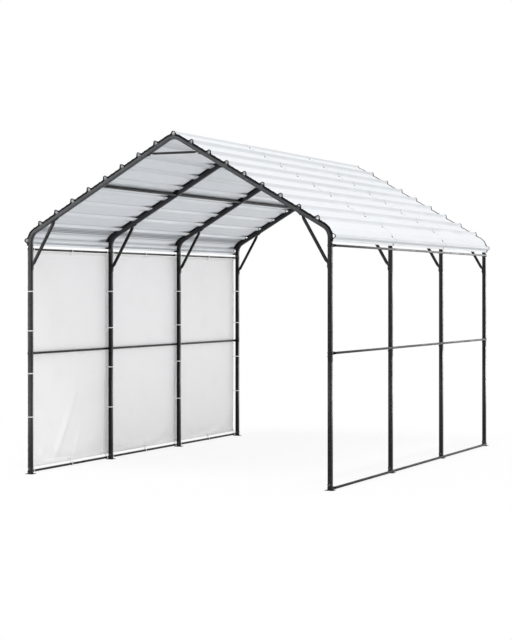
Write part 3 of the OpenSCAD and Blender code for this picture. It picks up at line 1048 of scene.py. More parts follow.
# ---------- Gable edging and sealing strips ----------
# Black rubber edging is pushed over the sheets' front and rear edges, thick on the flats and
# thin over the ribs. Foam strips on each rafter seal the flats and leave the ribs open; they
# reach well past each rafter's face, where their black stands in for the shade under the sheet:
# painted shade.

EDGING_FLAT = 0.0088
EDGING_TOP = 0.0104
EDGING_RIB = 0.0024
EDGING_DEEP = 0.013
# How far the foam reaches in front of a rafter, most of it past the rafter's face as painted shade.
STRIP_AHEAD_WITH_SHADE = 0.072
STRIP_FAR = 0.030
STRIP_GAP = 0.029


def rubber(name, colour, roughness):
    """Black rubber or foam: dull, faintly mottled, with fine pores."""
    made, tree, paint = finish(name, roughness, specular=0.06)
    place = object_place(tree)
    pore = pattern(tree, "Voronoi", place, Scale=700.0)
    tone = pattern(tree, "Noise", place, Scale=25.0, Detail=4.0)
    painted(tree, paint, blended(tree, mapped(tree, tone, 0.35, 0.75), colour, shaded(colour, 1.8)))
    bumped(tree, paint, pore, 0.0004, 0.5)
    return made


black_rubber = rubber("edging_rubber", (0.004, 0.004, 0.0042, 1.0), 0.7)
black_foam = rubber("sealing_foam", (0.010, 0.010, 0.011, 1.0), 0.85)

edge_s = np.concatenate([cap_s[cap_s >= 0], sheet_s[sheet_s > CAP_HALF]])
on_cap = np.arange(len(edge_s)) < (cap_s >= 0).sum()
edge_base, edge_out, edge_high = (
    np.concatenate([on_the_cap[cap_s >= 0], on_the_side[sheet_s > CAP_HALF]])
    for on_the_cap, on_the_side in ((cap_base, side_base), (cap_out, side_out), (cap_height, sheet_height)))


def both_slopes(right):
    """A line down the right slope, run on from its mirror image up the left one."""
    return np.concatenate([right[:0:-1] * [-1, 1, 1], right])


def edging(y, way):
    """A rounded strip along the sheets' outline: its half thickness goes from the rib's to the
    flat's by the height of the outline, and on the flats it laps down over the rafter."""
    rib = smooth((edge_high - 0.004) / 0.010)
    half = EDGING_FLAT + (EDGING_RIB - EDGING_FLAT) * rib
    level = tube / 2 + edge_high + EDGING_TOP - EDGING_FLAT
    level += (SHEET_SEAT - EDGING_TOP + EDGING_FLAT) * rib
    right = edge_base + level[:, None] * edge_out
    line = both_slopes(right)
    wide = np.r_[half[:0:-1], half]
    out = np.cross(Y, -directions(line))
    outline = rounded_rect(2 * wide, np.full(len(wide), EDGING_DEEP), 0.4 * wide, 2, 1)
    return carried(line + (y + way * EDGING_DEEP / 2) * Y, -out, Y, outline)


for name, y, way in (("front", roof_low.y - 0.002, 1), ("rear", roof_high.y + 0.002, -1)):
    piece(f"gable_edging_{name}", edging(y, way), [black_rubber], crease=60)


def foam_strip(start, end, line_of, near, far, flip):
    """A flat pad between rafter and sheet from start to end along the seat line, carried from
    near to far and thinned at both."""
    s = np.linspace(start, end, max(int(abs(end - start) / 0.012), 3))
    base, out = line_of(s)
    ys = np.array([near, near + 0.004, far - 0.004, far])
    skim = np.array([0.0012, 0.0, 0.0, 0.0012])
    top = base[:, None] + (tube / 2 + SHEET_SEAT - 0.0006 - skim)[None, :, None] * out[:, None]
    low = base[:, None] + (tube / 2 + 0.0002 + 0.4 * skim)[None, :, None] * out[:, None]
    top, low = ((p + ys[None, :, None] * Y) * [flip, 1, 1] for p in (top, low))
    return welded(thin_body(top, low, flip))


strip_spans = [(CAP_HALF + 0.004, rib_s[0] - STRIP_GAP)]
strip_spans += [(a + STRIP_GAP, b - STRIP_GAP) for a, b in zip(rib_s, rib_s[1:])]
strip_spans += [(rib_s[-1] + STRIP_GAP, sheet_end_s - 0.002)]
for f, y in zip(FRAMES, frame_y):
    # the strip reaches well past the rafter's face: black standing in for shade, painted shade
    near = roof_low.y + EDGING_DEEP if f == "front" else y - STRIP_AHEAD_WITH_SHADE
    far = y + STRIP_AHEAD_WITH_SHADE if f == "front" else min(y + STRIP_FAR, roof_high.y - EDGING_DEEP)
    strips = [foam_strip(a, b, side_line, near, far, side)
              for a, b in strip_spans for side in (-1, 1)]
    strips += [foam_strip(side * STRIP_GAP, side * (CAP_HALF - 0.01), ridge_line, near, far, 1)
               for side in (-1, 1)]
    piece(f"sealing_strips_{f}", join(strips), [black_foam], crease=50)


# ---------- Lap sealant ----------
# A grey butyl bead squeezed out along each lap of the roof at the middle rafters. It follows
# the sheets' outline over the ribs and the ridge cap. Its grey line also stands in for the
# shade at the lap's edge: painted shade.

BEAD_HALF = 0.0017
sealant = rubber("lap_sealant", (0.20, 0.205, 0.21, 1.0), 0.7)


def lap_bead(y):
    """A small round strip along the sheets' outline just past the upper sheet's end, its size
    swelling and thinning by a sine of the way along it."""
    right = edge_base + (tube / 2 + SHEET_SEAT + edge_high + on_cap * CAP_LIFT)[:, None] * edge_out
    line = both_slopes(right) + y * Y
    way = walked(line)
    size = BEAD_HALF * (1 + 0.18 * np.sin(way / 0.017) + 0.1 * np.sin(way / 0.0061))
    turn = np.linspace(0, 2 * np.pi, 8, endpoint=False)
    outline = size[:, None, None] * np.column_stack([np.cos(turn), np.sin(turn)])
    return carried(line, np.cross(Y, directions(line)), Y, outline)


piece("lap_sealant_beads", join([lap_bead(y + LAP) for y in frame_y[1:-1]]), [sealant],
      crease=80)


# ---------- Roof screws ----------
# Self-drilling screws with a hexagon head, a pressed flange and a bonded rubber washer, one
# beside each rib on every rafter, in the ridge caps and in the strips below the eaves.

SCREW_SIDE = 0.041
SCREW_HEX = 0.0042
SCREW_FLANGE = 0.0066
SEAL_R = 0.0082
STRIP_SCREW_Z = 2.143


def screw(spot, axis):
    """Rubber washer, steel flange and hexagon head as one turned stack; also which faces are
    rubber, the first three rings of it."""
    rows = [(SEAL_R, -0.0004, 0), (SEAL_R, 0.0010, 0), (SEAL_R - 0.0006, 0.0017, 0),
            (SCREW_FLANGE, 0.0020, 0), (SCREW_FLANGE, 0.0027, 0), (SCREW_HEX, 0.0032, 1),
            (SCREW_HEX, 0.0066, 1), (SCREW_HEX - 0.0009, 0.0073, 0.4)]
    return turned(rows, spot, axis, 18)


screw_zinc = zinc("screw_zinc", (0.30, 0.31, 0.32, 1.0), 0.38)
pan_screws = np.r_[rib_s[:-1] + SCREW_SIDE, rib_s[-1] - SCREW_SIDE, bend_s + eave_z - STRIP_SCREW_Z]
screw_base, screw_out = side_line(pan_screws)
crown_base, crown_out = ridge_line(np.array([0.048]))
screw_base = np.concatenate([screw_base, crown_base])
screw_out = np.concatenate([screw_out, crown_out])
screw_level = tube / 2 + SHEET_SEAT + LAP_LIFT + np.r_[np.zeros(len(pan_screws)), CAP_LIFT]
for f, y in zip(FRAMES, frame_y):
    shapes, faces = [], []
    for side in (-1, 1):
        flank = np.array([side, 1, 1])
        for base, out, level in zip(screw_base, screw_out, screw_level):
            lift = LAP_LIFT if f in ("front", "rear") else 0.0
            shapes.append(screw((base + (level - lift) * out) * flank + y * Y, out * flank))
    one = shapes[0]
    quads = np.repeat([1, 0], [18 * 3, len(one["quads"]) - 18 * 3])
    which = np.r_[np.tile(quads, len(shapes)), np.zeros(len(one["tris"]) * len(shapes))]
    piece(f"roof_screws_{f}", join(shapes), [screw_zinc, black_rubber], which=which)


# ---------- Side cloth ----------
# One panel of coated woven sheeting closes the left side, cut a little larger than the space it
# fills so that it hangs slack. It is laced to posts and rails, and pulls into soft folds: each
# is three (y, z) points of a curve, its height and its half width.

CLOTH_THICK = 0.0007
SLACK_WIDE = 0.012
SLACK_HIGH = 0.007
CELL = 0.025
EYELET_IN = 0.022
RAIL_TIES = np.array([0.090, 0.790, 1.475])
POST_TIE_Z = np.array([0.531, 0.937, 1.335, 1.703])
HOLD_R = 0.019
PULL_FORWARD = 0.055
HANG_STEPS = 44
BELLY = 0.022
FOLDS = [
    ((-1.35, 0.82), (-1.48, 0.52), (-1.75, 0.07), 0.0300, 0.040),
    ((-1.23, 0.42), (-1.32, 0.25), (-1.36, 0.08), 0.0120, 0.032),
    ((-1.76, 0.96), (-1.81, 0.87), (-1.84, 0.78), 0.0035, 0.024),
    ((-1.88, 0.24), (-1.95, 0.17), (-2.04, 0.10), 0.0045, 0.026),
    ((-1.07, 1.66), (-1.18, 1.50), (-1.30, 1.30), 0.0030, 0.045),
    ((0.36, 1.88), (0.22, 1.74), (0.02, 1.60), 0.0045, 0.036),
    ((-0.30, 2.03), (-0.36, 1.98), (-0.43, 1.92), 0.0035, 0.030),
    ((1.62, 1.67), (1.55, 1.55), (1.45, 1.40), 0.0045, 0.036),
    ((1.92, 1.95), (1.88, 1.90), (1.85, 1.86), 0.0035, 0.026),
]

cloth_low, cloth_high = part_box("side_cloth")
cloth_x = (cloth_low.x + cloth_high.x) / 2
cloth_wide, cloth_tall = cloth_high.y - cloth_low.y, cloth_high.z - cloth_low.z
cols, rows = int(cloth_wide / CELL) + 1, int(cloth_tall / CELL) + 1
grid_z, grid_y = np.meshgrid(np.linspace(cloth_low.z, cloth_high.z, rows),
                             np.linspace(cloth_low.y, cloth_high.y, cols), indexing="ij")
rail_tie_y = (frame_y[:-1, None] + RAIL_TIES).ravel()
held_y = np.r_[rail_tie_y, rail_tie_y, np.repeat(frame_y, len(POST_TIE_Z))]
held_z = np.r_[np.full(len(rail_tie_y), cloth_high.z - EYELET_IN),
               np.full(len(rail_tie_y), cloth_low.z + EYELET_IN), np.tile(POST_TIE_Z, len(FRAMES))]
held_y = np.clip(held_y, cloth_low.y + EYELET_IN, cloth_high.y - EYELET_IN)


def pulled(y, z):
    """How far the lacing draws the cloth towards the front: most at the foot of the front bay,
    falling off with height and towards the rear."""
    low = 1 - smooth((z - cloth_low.z) / 1.1)
    front = 1 - 0.75 * smooth((y - frame_y[0] - 0.4) / 1.6)
    return PULL_FORWARD * low * front * smooth((y - cloth_low.y) / 0.3)


def room(y, z):
    """How far inwards the cloth may belly: nothing at a post or rail, BELLY halfway between."""
    bay_part = np.clip((y - frame_y[0]) / (frame_y[1] - frame_y[0]), 0, 2.999) % 1.0
    rails = np.array([(b[0].z + b[1].z) / 2 for b in (rail_boxes[f"{level}_rail_left"]
                                                       for level in ("bottom", "mid", "top"))])
    band = np.where(z < rails[1], (z - rails[0]) / (rails[1] - rails[0]),
                    (z - rails[1]) / (rails[2] - rails[1]))
    swell = np.sin(np.pi * bay_part) * np.sin(np.pi * np.clip(band, 0, 1))
    return BELLY * smooth(2.2 * np.clip(swell, 0, None))


def hung_cloth():
    """The panel hung by simulation: it starts on the plane of the lacing with its cut, larger
    shape as its rest shape, is pinned at the eyelets and along its hemmed edges, and settles
    under its weight."""
    start_x = cloth_x - 0.004 * np.sin(7.3 * grid_y + 2.1 * grid_z) * np.sin(3.1 * grid_z)
    start = np.stack([start_x, grid_y - pulled(grid_y, grid_z), grid_z], -1)
    part = surface(start)
    mesh = bpy.data.meshes.new("cloth_cut")
    mesh.from_pydata(part["verts"].tolist(), [], part["quads"].tolist())
    panel = in_scene("cloth_cut", mesh)
    panel.shape_key_add(name="hung")
    cut = panel.shape_key_add(name="cut")
    flat = np.stack([np.full_like(grid_y, cloth_x), (1 + SLACK_WIDE) * grid_y,
                     cloth_high.z + (1 + SLACK_HIGH) * (grid_z - cloth_high.z)], -1)
    cut.data.foreach_set("co", flat.astype(np.float32).ravel())
    held = panel.vertex_groups.new(name="held")
    way = np.hypot(grid_y.ravel()[:, None] - held_y, grid_z.ravel()[:, None] - held_z).min(1)
    hemmed = np.zeros((rows, cols), bool)
    hemmed[[0, -1]] = hemmed[:, [0, -1]] = True
    held.add(np.flatnonzero((way < HOLD_R) | hemmed.ravel()).tolist(), 1.0, "REPLACE")
    hang = panel.modifiers.new("hang", "CLOTH")
    hang.settings.quality = 5
    hang.settings.mass = 0.25
    hang.settings.tension_stiffness = 25
    hang.settings.compression_stiffness = 25
    hang.settings.shear_stiffness = 30
    hang.settings.bending_stiffness = 0.3
    hang.settings.air_damping = 3.0
    hang.settings.vertex_group_mass = "held"
    hang.settings.rest_shape_key = cut
    hang.collision_settings.use_collision = False
    hang.point_cache.frame_end = HANG_STEPS
    scene = bpy.context.scene
    for step in range(1, HANG_STEPS + 1):
        scene.frame_set(step)
    shown = panel.evaluated_get(bpy.context.evaluated_depsgraph_get())
    settled = np.empty(len(part["verts"]) * 3, np.float32)
    shown.data.vertices.foreach_get("co", settled)
    scene.frame_set(1)
    bpy.data.objects.remove(panel)
    bpy.data.meshes.remove(mesh)
    return settled.reshape(rows, cols, 3).astype(float)


def creased(y, z):
    """How far the FOLDS stand out: each is a ridge of bell section along a quadratic curve,
    fading out by the root of a half sine at its ends."""
    risen = np.zeros_like(y)
    t = np.linspace(0, 1, 41)
    for top, middle, foot, high, wide in FOLDS:
        curve = (np.outer((1 - t) ** 2, top) + np.outer(2 * t * (1 - t), middle) + np.outer(t ** 2, foot))
        away = np.hypot(y[..., None] - curve[:, 0], z[..., None] - curve[:, 1])
        risen += high * (bell(away, wide) * np.sqrt(np.sin(np.pi * t))).max(-1)
    return risen


def facing(points):
    """Unit normals of a grid of points, across x along."""
    out = np.cross(np.gradient(points, axis=1), np.gradient(points, axis=0))
    return out / np.linalg.norm(out, axis=-1, keepdims=True)


hung = hung_cloth()
inner = cloth_x + 0.0012 + room(grid_y, grid_z)
hung[..., 0] = inner - np.logaddexp(0, (inner - hung[..., 0]) / 0.002) * 0.002
hung[..., 0] = np.maximum(hung[..., 0], cloth_x - 0.030)
hung[..., 0] += creased(grid_y, grid_z)
hung_out = facing(hung)


def on_cloth(y, z, off=0.0):
    """Points on the hung panel for places (y, z) of the cut, by mixing the four nearest grid
    points, moved off along the normal."""
    u = np.clip((y - cloth_low.y) / cloth_wide * (cols - 1), 0, cols - 1.001)
    v = np.clip((z - cloth_low.z) / cloth_tall * (rows - 1), 0, rows - 1.001)
    i, j = v.astype(int), u.astype(int)
    fi, fj = (v - i)[..., None], (u - j)[..., None]
    mixed = [(1 - fi) * ((1 - fj) * g[i, j] + fj * g[i, j + 1])
             + fi * ((1 - fj) * g[i + 1, j] + fj * g[i + 1, j + 1]) for g in (hung, hung_out)]
    beyond = np.stack([0 * y, y - np.clip(y, cloth_low.y, cloth_high.y),
                       z - np.clip(z, cloth_low.z, cloth_high.z)], -1)
    return mixed[0] + beyond + np.asarray(off)[..., None] * mixed[1]


def laid(y, z, thick, soft):
    """A flat band of cloth on the panel, wrapped round it: the band's grid moved out by half its
    thickness on both sides, drawn in to nothing over its outermost rows and columns."""
    return welded(thin_body(*(on_cloth(y, z, way * soft * thick / 2) for way in (1, -1))))


def thread_weave(name, colour, thread, sheen):
    """Plain weave of flat tape yarns under a clear coating, by the cut's own width and height:
    two sines at right angles give the bump, and slubs and handling marks vary the tone."""
    made, tree, paint = finish(name, 0.62, specular=0.35)
    where = node(tree, "ShaderNodeUVMap", uv_map="UVMap").outputs[0]
    waves = [math_node(tree, "SINE", math_node(tree, "MULTIPLY", way, 2 * math.pi / thread))
             for way in parted(tree, where)[:2]]
    woven = math_node(tree, "MULTIPLY", waves[0], waves[1])
    slub = pattern(tree, "Noise", stretched(tree, where, (3.0, 420.0, 1.0)), Scale=1.0, Detail=2.0)
    mark = pattern(tree, "Noise", where, Scale=2.4, Detail=5.0, Roughness=0.6)
    shade = shaded(colour, 0.93)
    base = blended(tree, mapped(tree, slub, 0.35, 0.7, 0.0, 0.25), colour, shade)
    handled = blended(tree, mapped(tree, mark, 0.45, 0.75, 0.0, 0.5), base, shade)
    dusty = blended(tree, placed(tree, DUST, Amount=0.16, Splash_height=0.30), handled,
                    (0.62, 0.60, 0.56, 1.0))
    painted(tree, paint, dusty)
    paint.inputs["Sheen Weight"].default_value = sheen
    paint.inputs["Sheen Roughness"].default_value = 0.4
    relief = math_node(tree, "ADD", math_node(tree, "MULTIPLY", woven, 0.5), slub)
    bumped(tree, paint, relief, 0.0001, 0.4)
    return made


coated_cloth = thread_weave("coated_side_cloth", (0.86, 0.85, 0.855, 1.0), 0.0022, 0.15)
cut_uv = np.stack([(1 + SLACK_WIDE) * grid_y, (1 + SLACK_HIGH) * grid_z], -1)
faces = [hung + k * CLOTH_THICK / 2 * hung_out for k in (1, -1)]
panel = thin_body(*faces, uv=np.concatenate([cut_uv, cut_uv[::-1]]))
side_cloth = piece("side_cloth_panel", welded(panel), [coated_cloth], ["side_cloth"],
                   crease=80)


# ---------- Hems, seams, stitching and eyelets ----------
# The panel's edges are folded over twice and stitched, and its three widths are joined by flat
# seams near the middle posts. Nickel eyelets are pressed through it where it is laced.

HEM_WIDE = 0.040
HEM_THICK = 0.0030
SEAM_WIDE = 0.022
SEAM_AHEAD = 0.046
STITCH = 0.0058
STITCH_STEP = 0.0082
STITCH_R = 0.0006
EYELET_R = 0.0105
EYELET_HOLE = 0.0052
EYELET_ROLL = 0.0014


def band(y_stops, z_stops, thick):
    """A hem or seam on the panel over a grid of cut places, drawn in at its edges."""
    z, y = np.meshgrid(z_stops, y_stops, indexing="ij")
    fade = [np.minimum(np.arange(len(a)), np.arange(len(a))[::-1]).clip(0, 1) for a in (z_stops, y_stops)]
    soft = 0.35 + 0.65 * np.minimum.outer(*fade)
    return laid(y, z, thick, soft)


def across(start, width):
    """Stations over a band's width: close at both folded edges."""
    return start + width * np.array([0.0, 0.03, 0.3, 0.7, 0.97, 1.0])


long_y = np.r_[cloth_low.y - 0.0012, np.linspace(cloth_low.y, cloth_high.y, cols), cloth_high.y + 0.0012]
long_z = np.r_[cloth_low.z - 0.0012, np.linspace(cloth_low.z, cloth_high.z, rows), cloth_high.z + 0.0012]
seam_y = frame_y[1:-1] - SEAM_AHEAD
bands = [band(long_y, across(cloth_low.z - 0.0016, HEM_WIDE), HEM_THICK),
         band(long_y, across(cloth_high.z + 0.0016 - HEM_WIDE, HEM_WIDE), HEM_THICK),
         band(across(cloth_low.y - 0.0016, HEM_WIDE), long_z, 0.9 * HEM_THICK),
         band(across(cloth_high.y + 0.0016 - HEM_WIDE, HEM_WIDE), long_z, 0.9 * HEM_THICK)]
bands += [band(across(y - SEAM_WIDE / 2, SEAM_WIDE), long_z, 0.7 * HEM_THICK) for y in seam_y]
hems = piece("cloth_hems_and_seams", join(bands), [coated_cloth], crease=60)


def stitches(y, z, thick):
    """Short threads end to end along a line of cut places: each is a long four-sided bead, just
    thicker than the cloth, whose size is the square root of 1 - t^2 along it."""
    here = on_cloth(y, z)
    along = directions(here)
    out = on_cloth(y, z, 1.0) - here
    side = np.cross(along, out)
    t = np.array([-0.98, -0.6, 0.6, 0.98])
    size = np.sqrt(1 - t ** 2)
    angle = -np.pi / 2 * np.arange(4)
    ring = (side[:, None, None] * (STITCH_R * np.cos(angle))[:, None]
            + out[:, None, None] * ((thick / 2 + 0.0004) * np.sin(angle))[:, None])
    points = (here[:, None, None] + along[:, None, None] * (STITCH / 2 * t)[:, None, None]
              + ring * (0.25 + 0.75 * size)[None, :, None, None])
    one = surface(points[0], around=True)
    count, each = len(points), len(one["verts"])
    quads = np.vstack([one["quads"], [3, 2, 1, 0], each - 4 + np.arange(4)])
    quad_uv = np.concatenate([one["uv"], np.zeros((2, 4, 2))])
    shift = np.arange(count)[:, None, None] * each
    return {"verts": points.reshape(-1, 3), "quads": (quads[None] + shift).reshape(-1, 4),
            "uv": np.tile(quad_uv, (count, 1, 1)), "tris": np.zeros((0, 3), int),
            "edge": np.zeros(count * each)}


def run_of(start, end):
    """Places of stitches from start to end."""
    return np.arange(start + STITCH_STEP, end - STITCH_STEP, STITCH_STEP)


level_y, level_z = run_of(cloth_low.y, cloth_high.y), run_of(cloth_low.z, cloth_high.z)
sewn = [stitches(level_y, np.full_like(level_y, z), HEM_THICK)
        for z in (cloth_low.z + HEM_WIDE - 0.007, cloth_high.z - HEM_WIDE + 0.007)]
sewn += [stitches(np.full_like(level_z, y), level_z, 0.9 * HEM_THICK)
         for y in (cloth_low.y + HEM_WIDE - 0.007, cloth_high.y - HEM_WIDE + 0.007)]
sewn += [stitches(np.full_like(level_z, y + k * 0.006), level_z, 0.7 * HEM_THICK)
         for y in seam_y for k in (-1, 1)]
sewing_thread = thread_weave("sewing_thread", (0.78, 0.77, 0.765, 1.0), 0.0012, 0.1)
thread = piece("cloth_stitching", join(sewn), [sewing_thread], crease=80)


def eyelet(y, z):
    """A rolled ring through the cloth: its section, turned about the cloth's normal, is a loop
    from the hole's wall over the outer roll and back along the other side."""
    spot = on_cloth(y, z)
    out = on_cloth(y, z, 1.0) - spot
    turn = np.linspace(0, 2 * np.pi, 14, endpoint=False)
    middle = (EYELET_R + EYELET_HOLE) / 2
    r = middle + (EYELET_R - EYELET_HOLE) / 2 * np.cos(turn)
    high = (EYELET_ROLL + HEM_THICK / 2) * np.sin(turn) * (0.75 - 0.25 * np.cos(turn))
    side = np.cross(out, Z) / np.linalg.norm(np.cross(out, Z))
    up = np.cross(out, side)
    a = np.linspace(0, 2 * np.pi, 20, endpoint=False)
    ring = r[:, None, None] * (np.cos(a)[:, None] * side + np.sin(a)[:, None] * up)
    return surface(spot + ring + high[:, None, None] * out, around=True, onward=True)


nickel = zinc("eyelet_nickel", (0.42, 0.42, 0.41, 1.0), 0.32)
eyelets = piece("cloth_eyelets", join([eyelet(y, z) for y, z in zip(held_y, held_z)]), [nickel],
                crease=60)


# ---------- Lacing ties ----------
# White elastic cord with a braided sheath, doubled, that goes round a post or rail and back
# through its eyelet to a knot on the outside. Sixteen hold posts and the rest hold two rails.

CORD_R = 0.0021
CORD_GAP = 0.0044
BRAID_STEP = 0.0034
CORD_BEND = 0.006
KNOT_R = 0.0056


def braided(name, colour):
    """Braided sheath: two sets of diagonal ribs that cross, by the way round and along the cord,
    painted darker between the ribs, painted shade in the grooves, with a little dirt where they rub."""
    made, tree, paint = finish(name, 0.7, specular=0.3)
    way = parted(tree, node(tree, "ShaderNodeUVMap", uv_map="UVMap").outputs[0])
    walk = math_node(tree, "MULTIPLY", way[1], 2 * math.pi / BRAID_STEP)
    lean = []
    for sign in (1.0, -1.0):
        turn = math_node(tree, "MULTIPLY", way[0], sign * 2 / CORD_R)
        lean.append(math_node(tree, "SINE", math_node(tree, "ADD", turn, walk)))
    ribs = math_node(tree, "MAXIMUM", lean[0], lean[1])
    rub = pattern(tree, "Noise", object_place(tree), Scale=70.0, Detail=3.0)
    # painted shade: darker between the braid's ribs
    base = blended(tree, mapped(tree, ribs, -0.4, 0.5), shaded(colour, 0.80), colour)
    worn = blended(tree, mapped(tree, rub, 0.5, 0.75, 0.0, 0.35), base, (0.55, 0.54, 0.52, 1.0))
    painted(tree, paint, worn)
    paint.inputs["Sheen Weight"].default_value = 0.2
    bumped(tree, paint, ribs, 0.0003, 0.5)
    return made


def cord_loop(corners, lift, off, spread):
    """Two round cords side by side along a bent line in a plane: the plane's point (p, q) is put
    in space by lift, and off is the plane's normal, along which the pair is spread."""
    line = lift(bent_line(corners, CORD_BEND, 0.004))
    along = directions(line)
    side = np.cross(off, along)
    turn = np.linspace(0, 2 * np.pi, 8, endpoint=False)
    outline = CORD_R * np.column_stack([np.cos(turn), np.sin(turn)])
    return [carried(line + k * spread / 2 * off, side, np.cross(along, side), outline)
            for k in (-1, 1)]


def knot(spot):
    """An overhand knot pulled tight: a ball whose radius swells in three slanted turns."""
    a, b = np.meshgrid(np.linspace(0.12, np.pi - 0.12, 9), np.linspace(0, 2 * np.pi, 14, endpoint=False),
                       indexing="ij")
    r = KNOT_R * (1 + 0.16 * np.sin(2 * b + 3.2 * a) + 0.06 * np.cos(3 * b - 2 * a))
    ball = np.stack([0.75 * r * np.cos(a), r * np.sin(a) * np.cos(b), r * np.sin(a) * np.sin(b)], -1)
    ball = ball[::-1] + spot
    return join([surface(ball, around=True), lid(ball[0], back=True), lid(ball[-1])])


white_cord = braided("white_elastic_cord", (0.86, 0.86, 0.85, 1.0))
reach = CORD_R + 0.0004
post_shapes, rail_shapes = [], []
for y, z in zip(held_y[2 * len(rail_tie_y):], held_z[2 * len(rail_tie_y):]):
    post_y = frame_y[np.abs(frame_y - y).argmin()]
    hole = on_cloth(y, z)
    outer, inner_x = -post_x - tube / 2 - reach, -post_in + reach
    wide = tube / 2 + reach
    corners = [[hole[0] - 0.005, hole[1] - 0.001], [hole[0] + 0.004, hole[1] - 0.003],
               [outer, post_y - wide], [inner_x, post_y - wide], [inner_x, post_y + wide],
               [outer, post_y + wide], [hole[0] + 0.004, hole[1] + 0.003],
               [hole[0] - 0.005, hole[1] + 0.001]]
    post_shapes += cord_loop(corners, lambda p, z=z: np.column_stack([p, np.full(len(p), z)]), Z, CORD_GAP)
    post_shapes.append(knot(hole - 0.007 * X))
for k, (y, z) in enumerate(zip(held_y[:2 * len(rail_tie_y)], held_z[:2 * len(rail_tie_y)])):
    low, high = rail_boxes["top_rail_left" if k < len(rail_tie_y) else "bottom_rail_left"]
    way = 1 if k < len(rail_tie_y) else -1
    near_z, far_z = ((low.z, high.z) if way > 0 else (high.z, low.z))
    hole = on_cloth(y, z)
    corners = [[hole[0] - 0.005, hole[2] - way * 0.001], [hole[0] + 0.004, hole[2] - way * 0.001],
               [high.x + reach, near_z - way * reach], [high.x + reach, far_z + way * reach],
               [low.x - 0.6 * reach, far_z + way * reach], [low.x - 0.6 * reach, near_z],
               [hole[0] + 0.002, hole[2] + way * 0.004], [hole[0] - 0.005, hole[2] + way * 0.001]]
    tied_y = rail_tie_y[k % len(rail_tie_y)]
    rail_shapes += cord_loop(
        corners, lambda p, y=tied_y: np.column_stack([p[:, 0], np.full(len(p), y), p[:, 1]]), Y, CORD_GAP)
    rail_shapes.append(knot(np.array([hole[0] - 0.007, tied_y, hole[2]])))
post_loops = piece("post_tie_cords", join(post_shapes), [white_cord], ["post_ties"])
rail_loops = piece("rail_tie_cords", join(rail_shapes), [white_cord], ["rail_ties"])


# ---------- Floor, light and camera ----------
# A plain white floor that keeps the carport's shadow and goes over to white all round, a white
# sky and a soft sun from above. Of the softboxes two give light, and the others only show as
# sheens on the tubes. A long lens looks from eye height, right of the open front.

FLOOR_HALF = 80.0
FLOOR_FADE = (3.0, 6.0)
FLOOR_GLOW = 0.86
WHITE = (1.0, 1.0, 1.0, 1.0)
SUN_TURN = (0.16, -0.34, 0.93)
SUN_STRENGTH = 1.42
SUN_SPREAD = math.radians(30)
SKY_STRENGTH = 0.66
SOFTBOXES = [
    ("key_softbox", (9.5, -15.5, 3.2), (-1.0, 0.5, 1.4), (8.0, 5.0), 600.0, True),
    ("inner_softbox", (1.2, 0.6, 0.95), (-1.5, 0.6, 1.2), (4.2, 1.7), 18.5, True),
    ("front_left_softbox", (-8.4, -12.0, 2.6), (-1.5, -2.0, 1.6), (3.4, 5.5), 850.0, False),
    ("front_top_softbox", (-4.8, -12.4, 4.1), (-0.2, -2.3, 2.7), (5.4, 1.4), 320.0, False),
    ("rim_softbox", (9.1, 25.0, 3.0), (0.5, 0.0, 1.2), (8.5, 4.5), 1180.0, False),
]
CAMERA_AT = (6.821, -15.431, 1.707)
CAMERA_TURN = math.radians(25.172)
LENS = 93.18
SHIFT = (0.0280, -0.0454)
SEEN_TO = 400.0


def seen_ray(tree):
    """1 for a ray from the camera, or one off a shiny or through a clear surface, else 0."""
    rays = node(tree, "ShaderNodeLightPath").outputs
    mirrored = math_node(tree, "MAXIMUM", rays["Is Glossy Ray"], rays["Is Transmission Ray"])
    return math_node(tree, "MAXIMUM", rays["Is Camera Ray"], mirrored)


def mixed(tree, share, first, second):
    """Two shaders mixed by a share socket."""
    mix = node(tree, "ShaderNodeMixShader")
    for place, socket in zip(mix.inputs, (share, first, second)):
        tree.links.new(socket, place)
    return mix.outputs[0]


spread = np.linspace(-FLOOR_HALF, FLOOR_HALF, 9)
floor_y, floor_x = np.meshgrid(spread, spread, indexing="ij")
flat_floor = surface(np.stack([floor_x, floor_y, 0 * floor_x], -1))
floor_mesh = bpy.data.meshes.new("floor")
floor_mesh.from_pydata(flat_floor["verts"].tolist(), [], flat_floor["quads"].tolist())
in_scene("floor", floor_mesh)

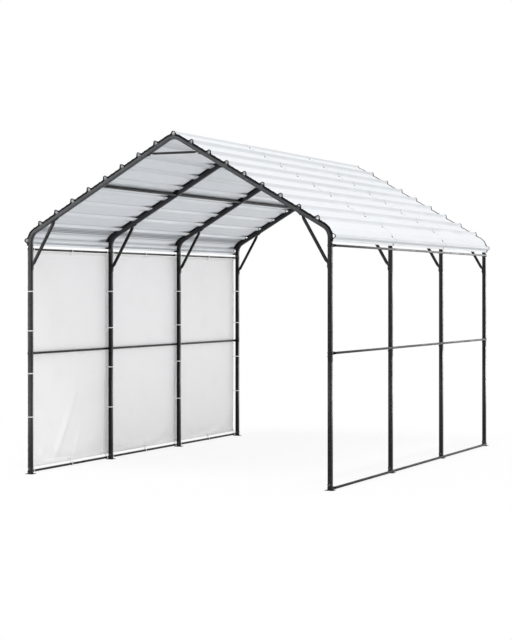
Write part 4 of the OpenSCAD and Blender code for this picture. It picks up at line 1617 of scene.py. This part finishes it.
floor_white, tree, paint = finish("floor_white", 0.9, specular=0.1)
paint.inputs["Base Color"].default_value = (0.88, 0.88, 0.88, 1.0)
glow = node(tree, "ShaderNodeEmission", Color=WHITE)
from_middle = node(tree, "ShaderNodeVectorMath", operation="LENGTH")
tree.links.new(object_place(tree), from_middle.inputs[0])
share = mapped(tree, from_middle.outputs["Value"], *FLOOR_FADE, FLOOR_GLOW, 1.0)
floor_look = mixed(tree, math_node(tree, "MULTIPLY", seen_ray(tree), share), paint.outputs[0],
                   glow.outputs[0])
tree.links.new(floor_look, tree.nodes["Material Output"].inputs["Surface"])
floor_mesh.materials.append(floor_white)

scene = bpy.context.scene
scene.view_settings.view_transform = "Standard"
world = bpy.data.worlds.new("white_sky")
scene.world = world
world.use_nodes = True
sky = world.node_tree
lit = sky.nodes["Background"]
lit.inputs["Color"].default_value = WHITE
lit.inputs["Strength"].default_value = SKY_STRENGTH
seen = node(sky, "ShaderNodeBackground", Color=WHITE, Strength=1.0)
sky_look = mixed(sky, seen_ray(sky), lit.outputs[0], seen.outputs[0])
sky.links.new(sky_look, sky.nodes["World Output"].inputs["Surface"])

sun_light = bpy.data.lights.new("soft_sun", "SUN")
sun_light.energy = SUN_STRENGTH
sun_light.angle = SUN_SPREAD
sun = in_scene("soft_sun", sun_light)
sun.rotation_euler = Vector(SUN_TURN).to_track_quat("Z", "Y").to_euler()

for name, at, aim, size, power, gives_light in SOFTBOXES:
    box_light = bpy.data.lights.new(name, "AREA")
    box_light.shape = "RECTANGLE"
    box_light.size, box_light.size_y = size
    box_light.energy = power
    softbox = in_scene(name, box_light)
    softbox.location = at
    softbox.rotation_euler = (Vector(at) - Vector(aim)).to_track_quat("Z", "Y").to_euler()
    softbox.visible_camera = False
    softbox.visible_diffuse = gives_light

lens = bpy.data.cameras.new("camera")
lens.lens = LENS
lens.sensor_width = 36.0
lens.shift_x, lens.shift_y = SHIFT
lens.clip_end = SEEN_TO
camera = in_scene("camera", lens)
camera.location = CAMERA_AT
camera.rotation_euler = (math.pi / 2, 0.0, CAMERA_TURN)
scene.camera = camera
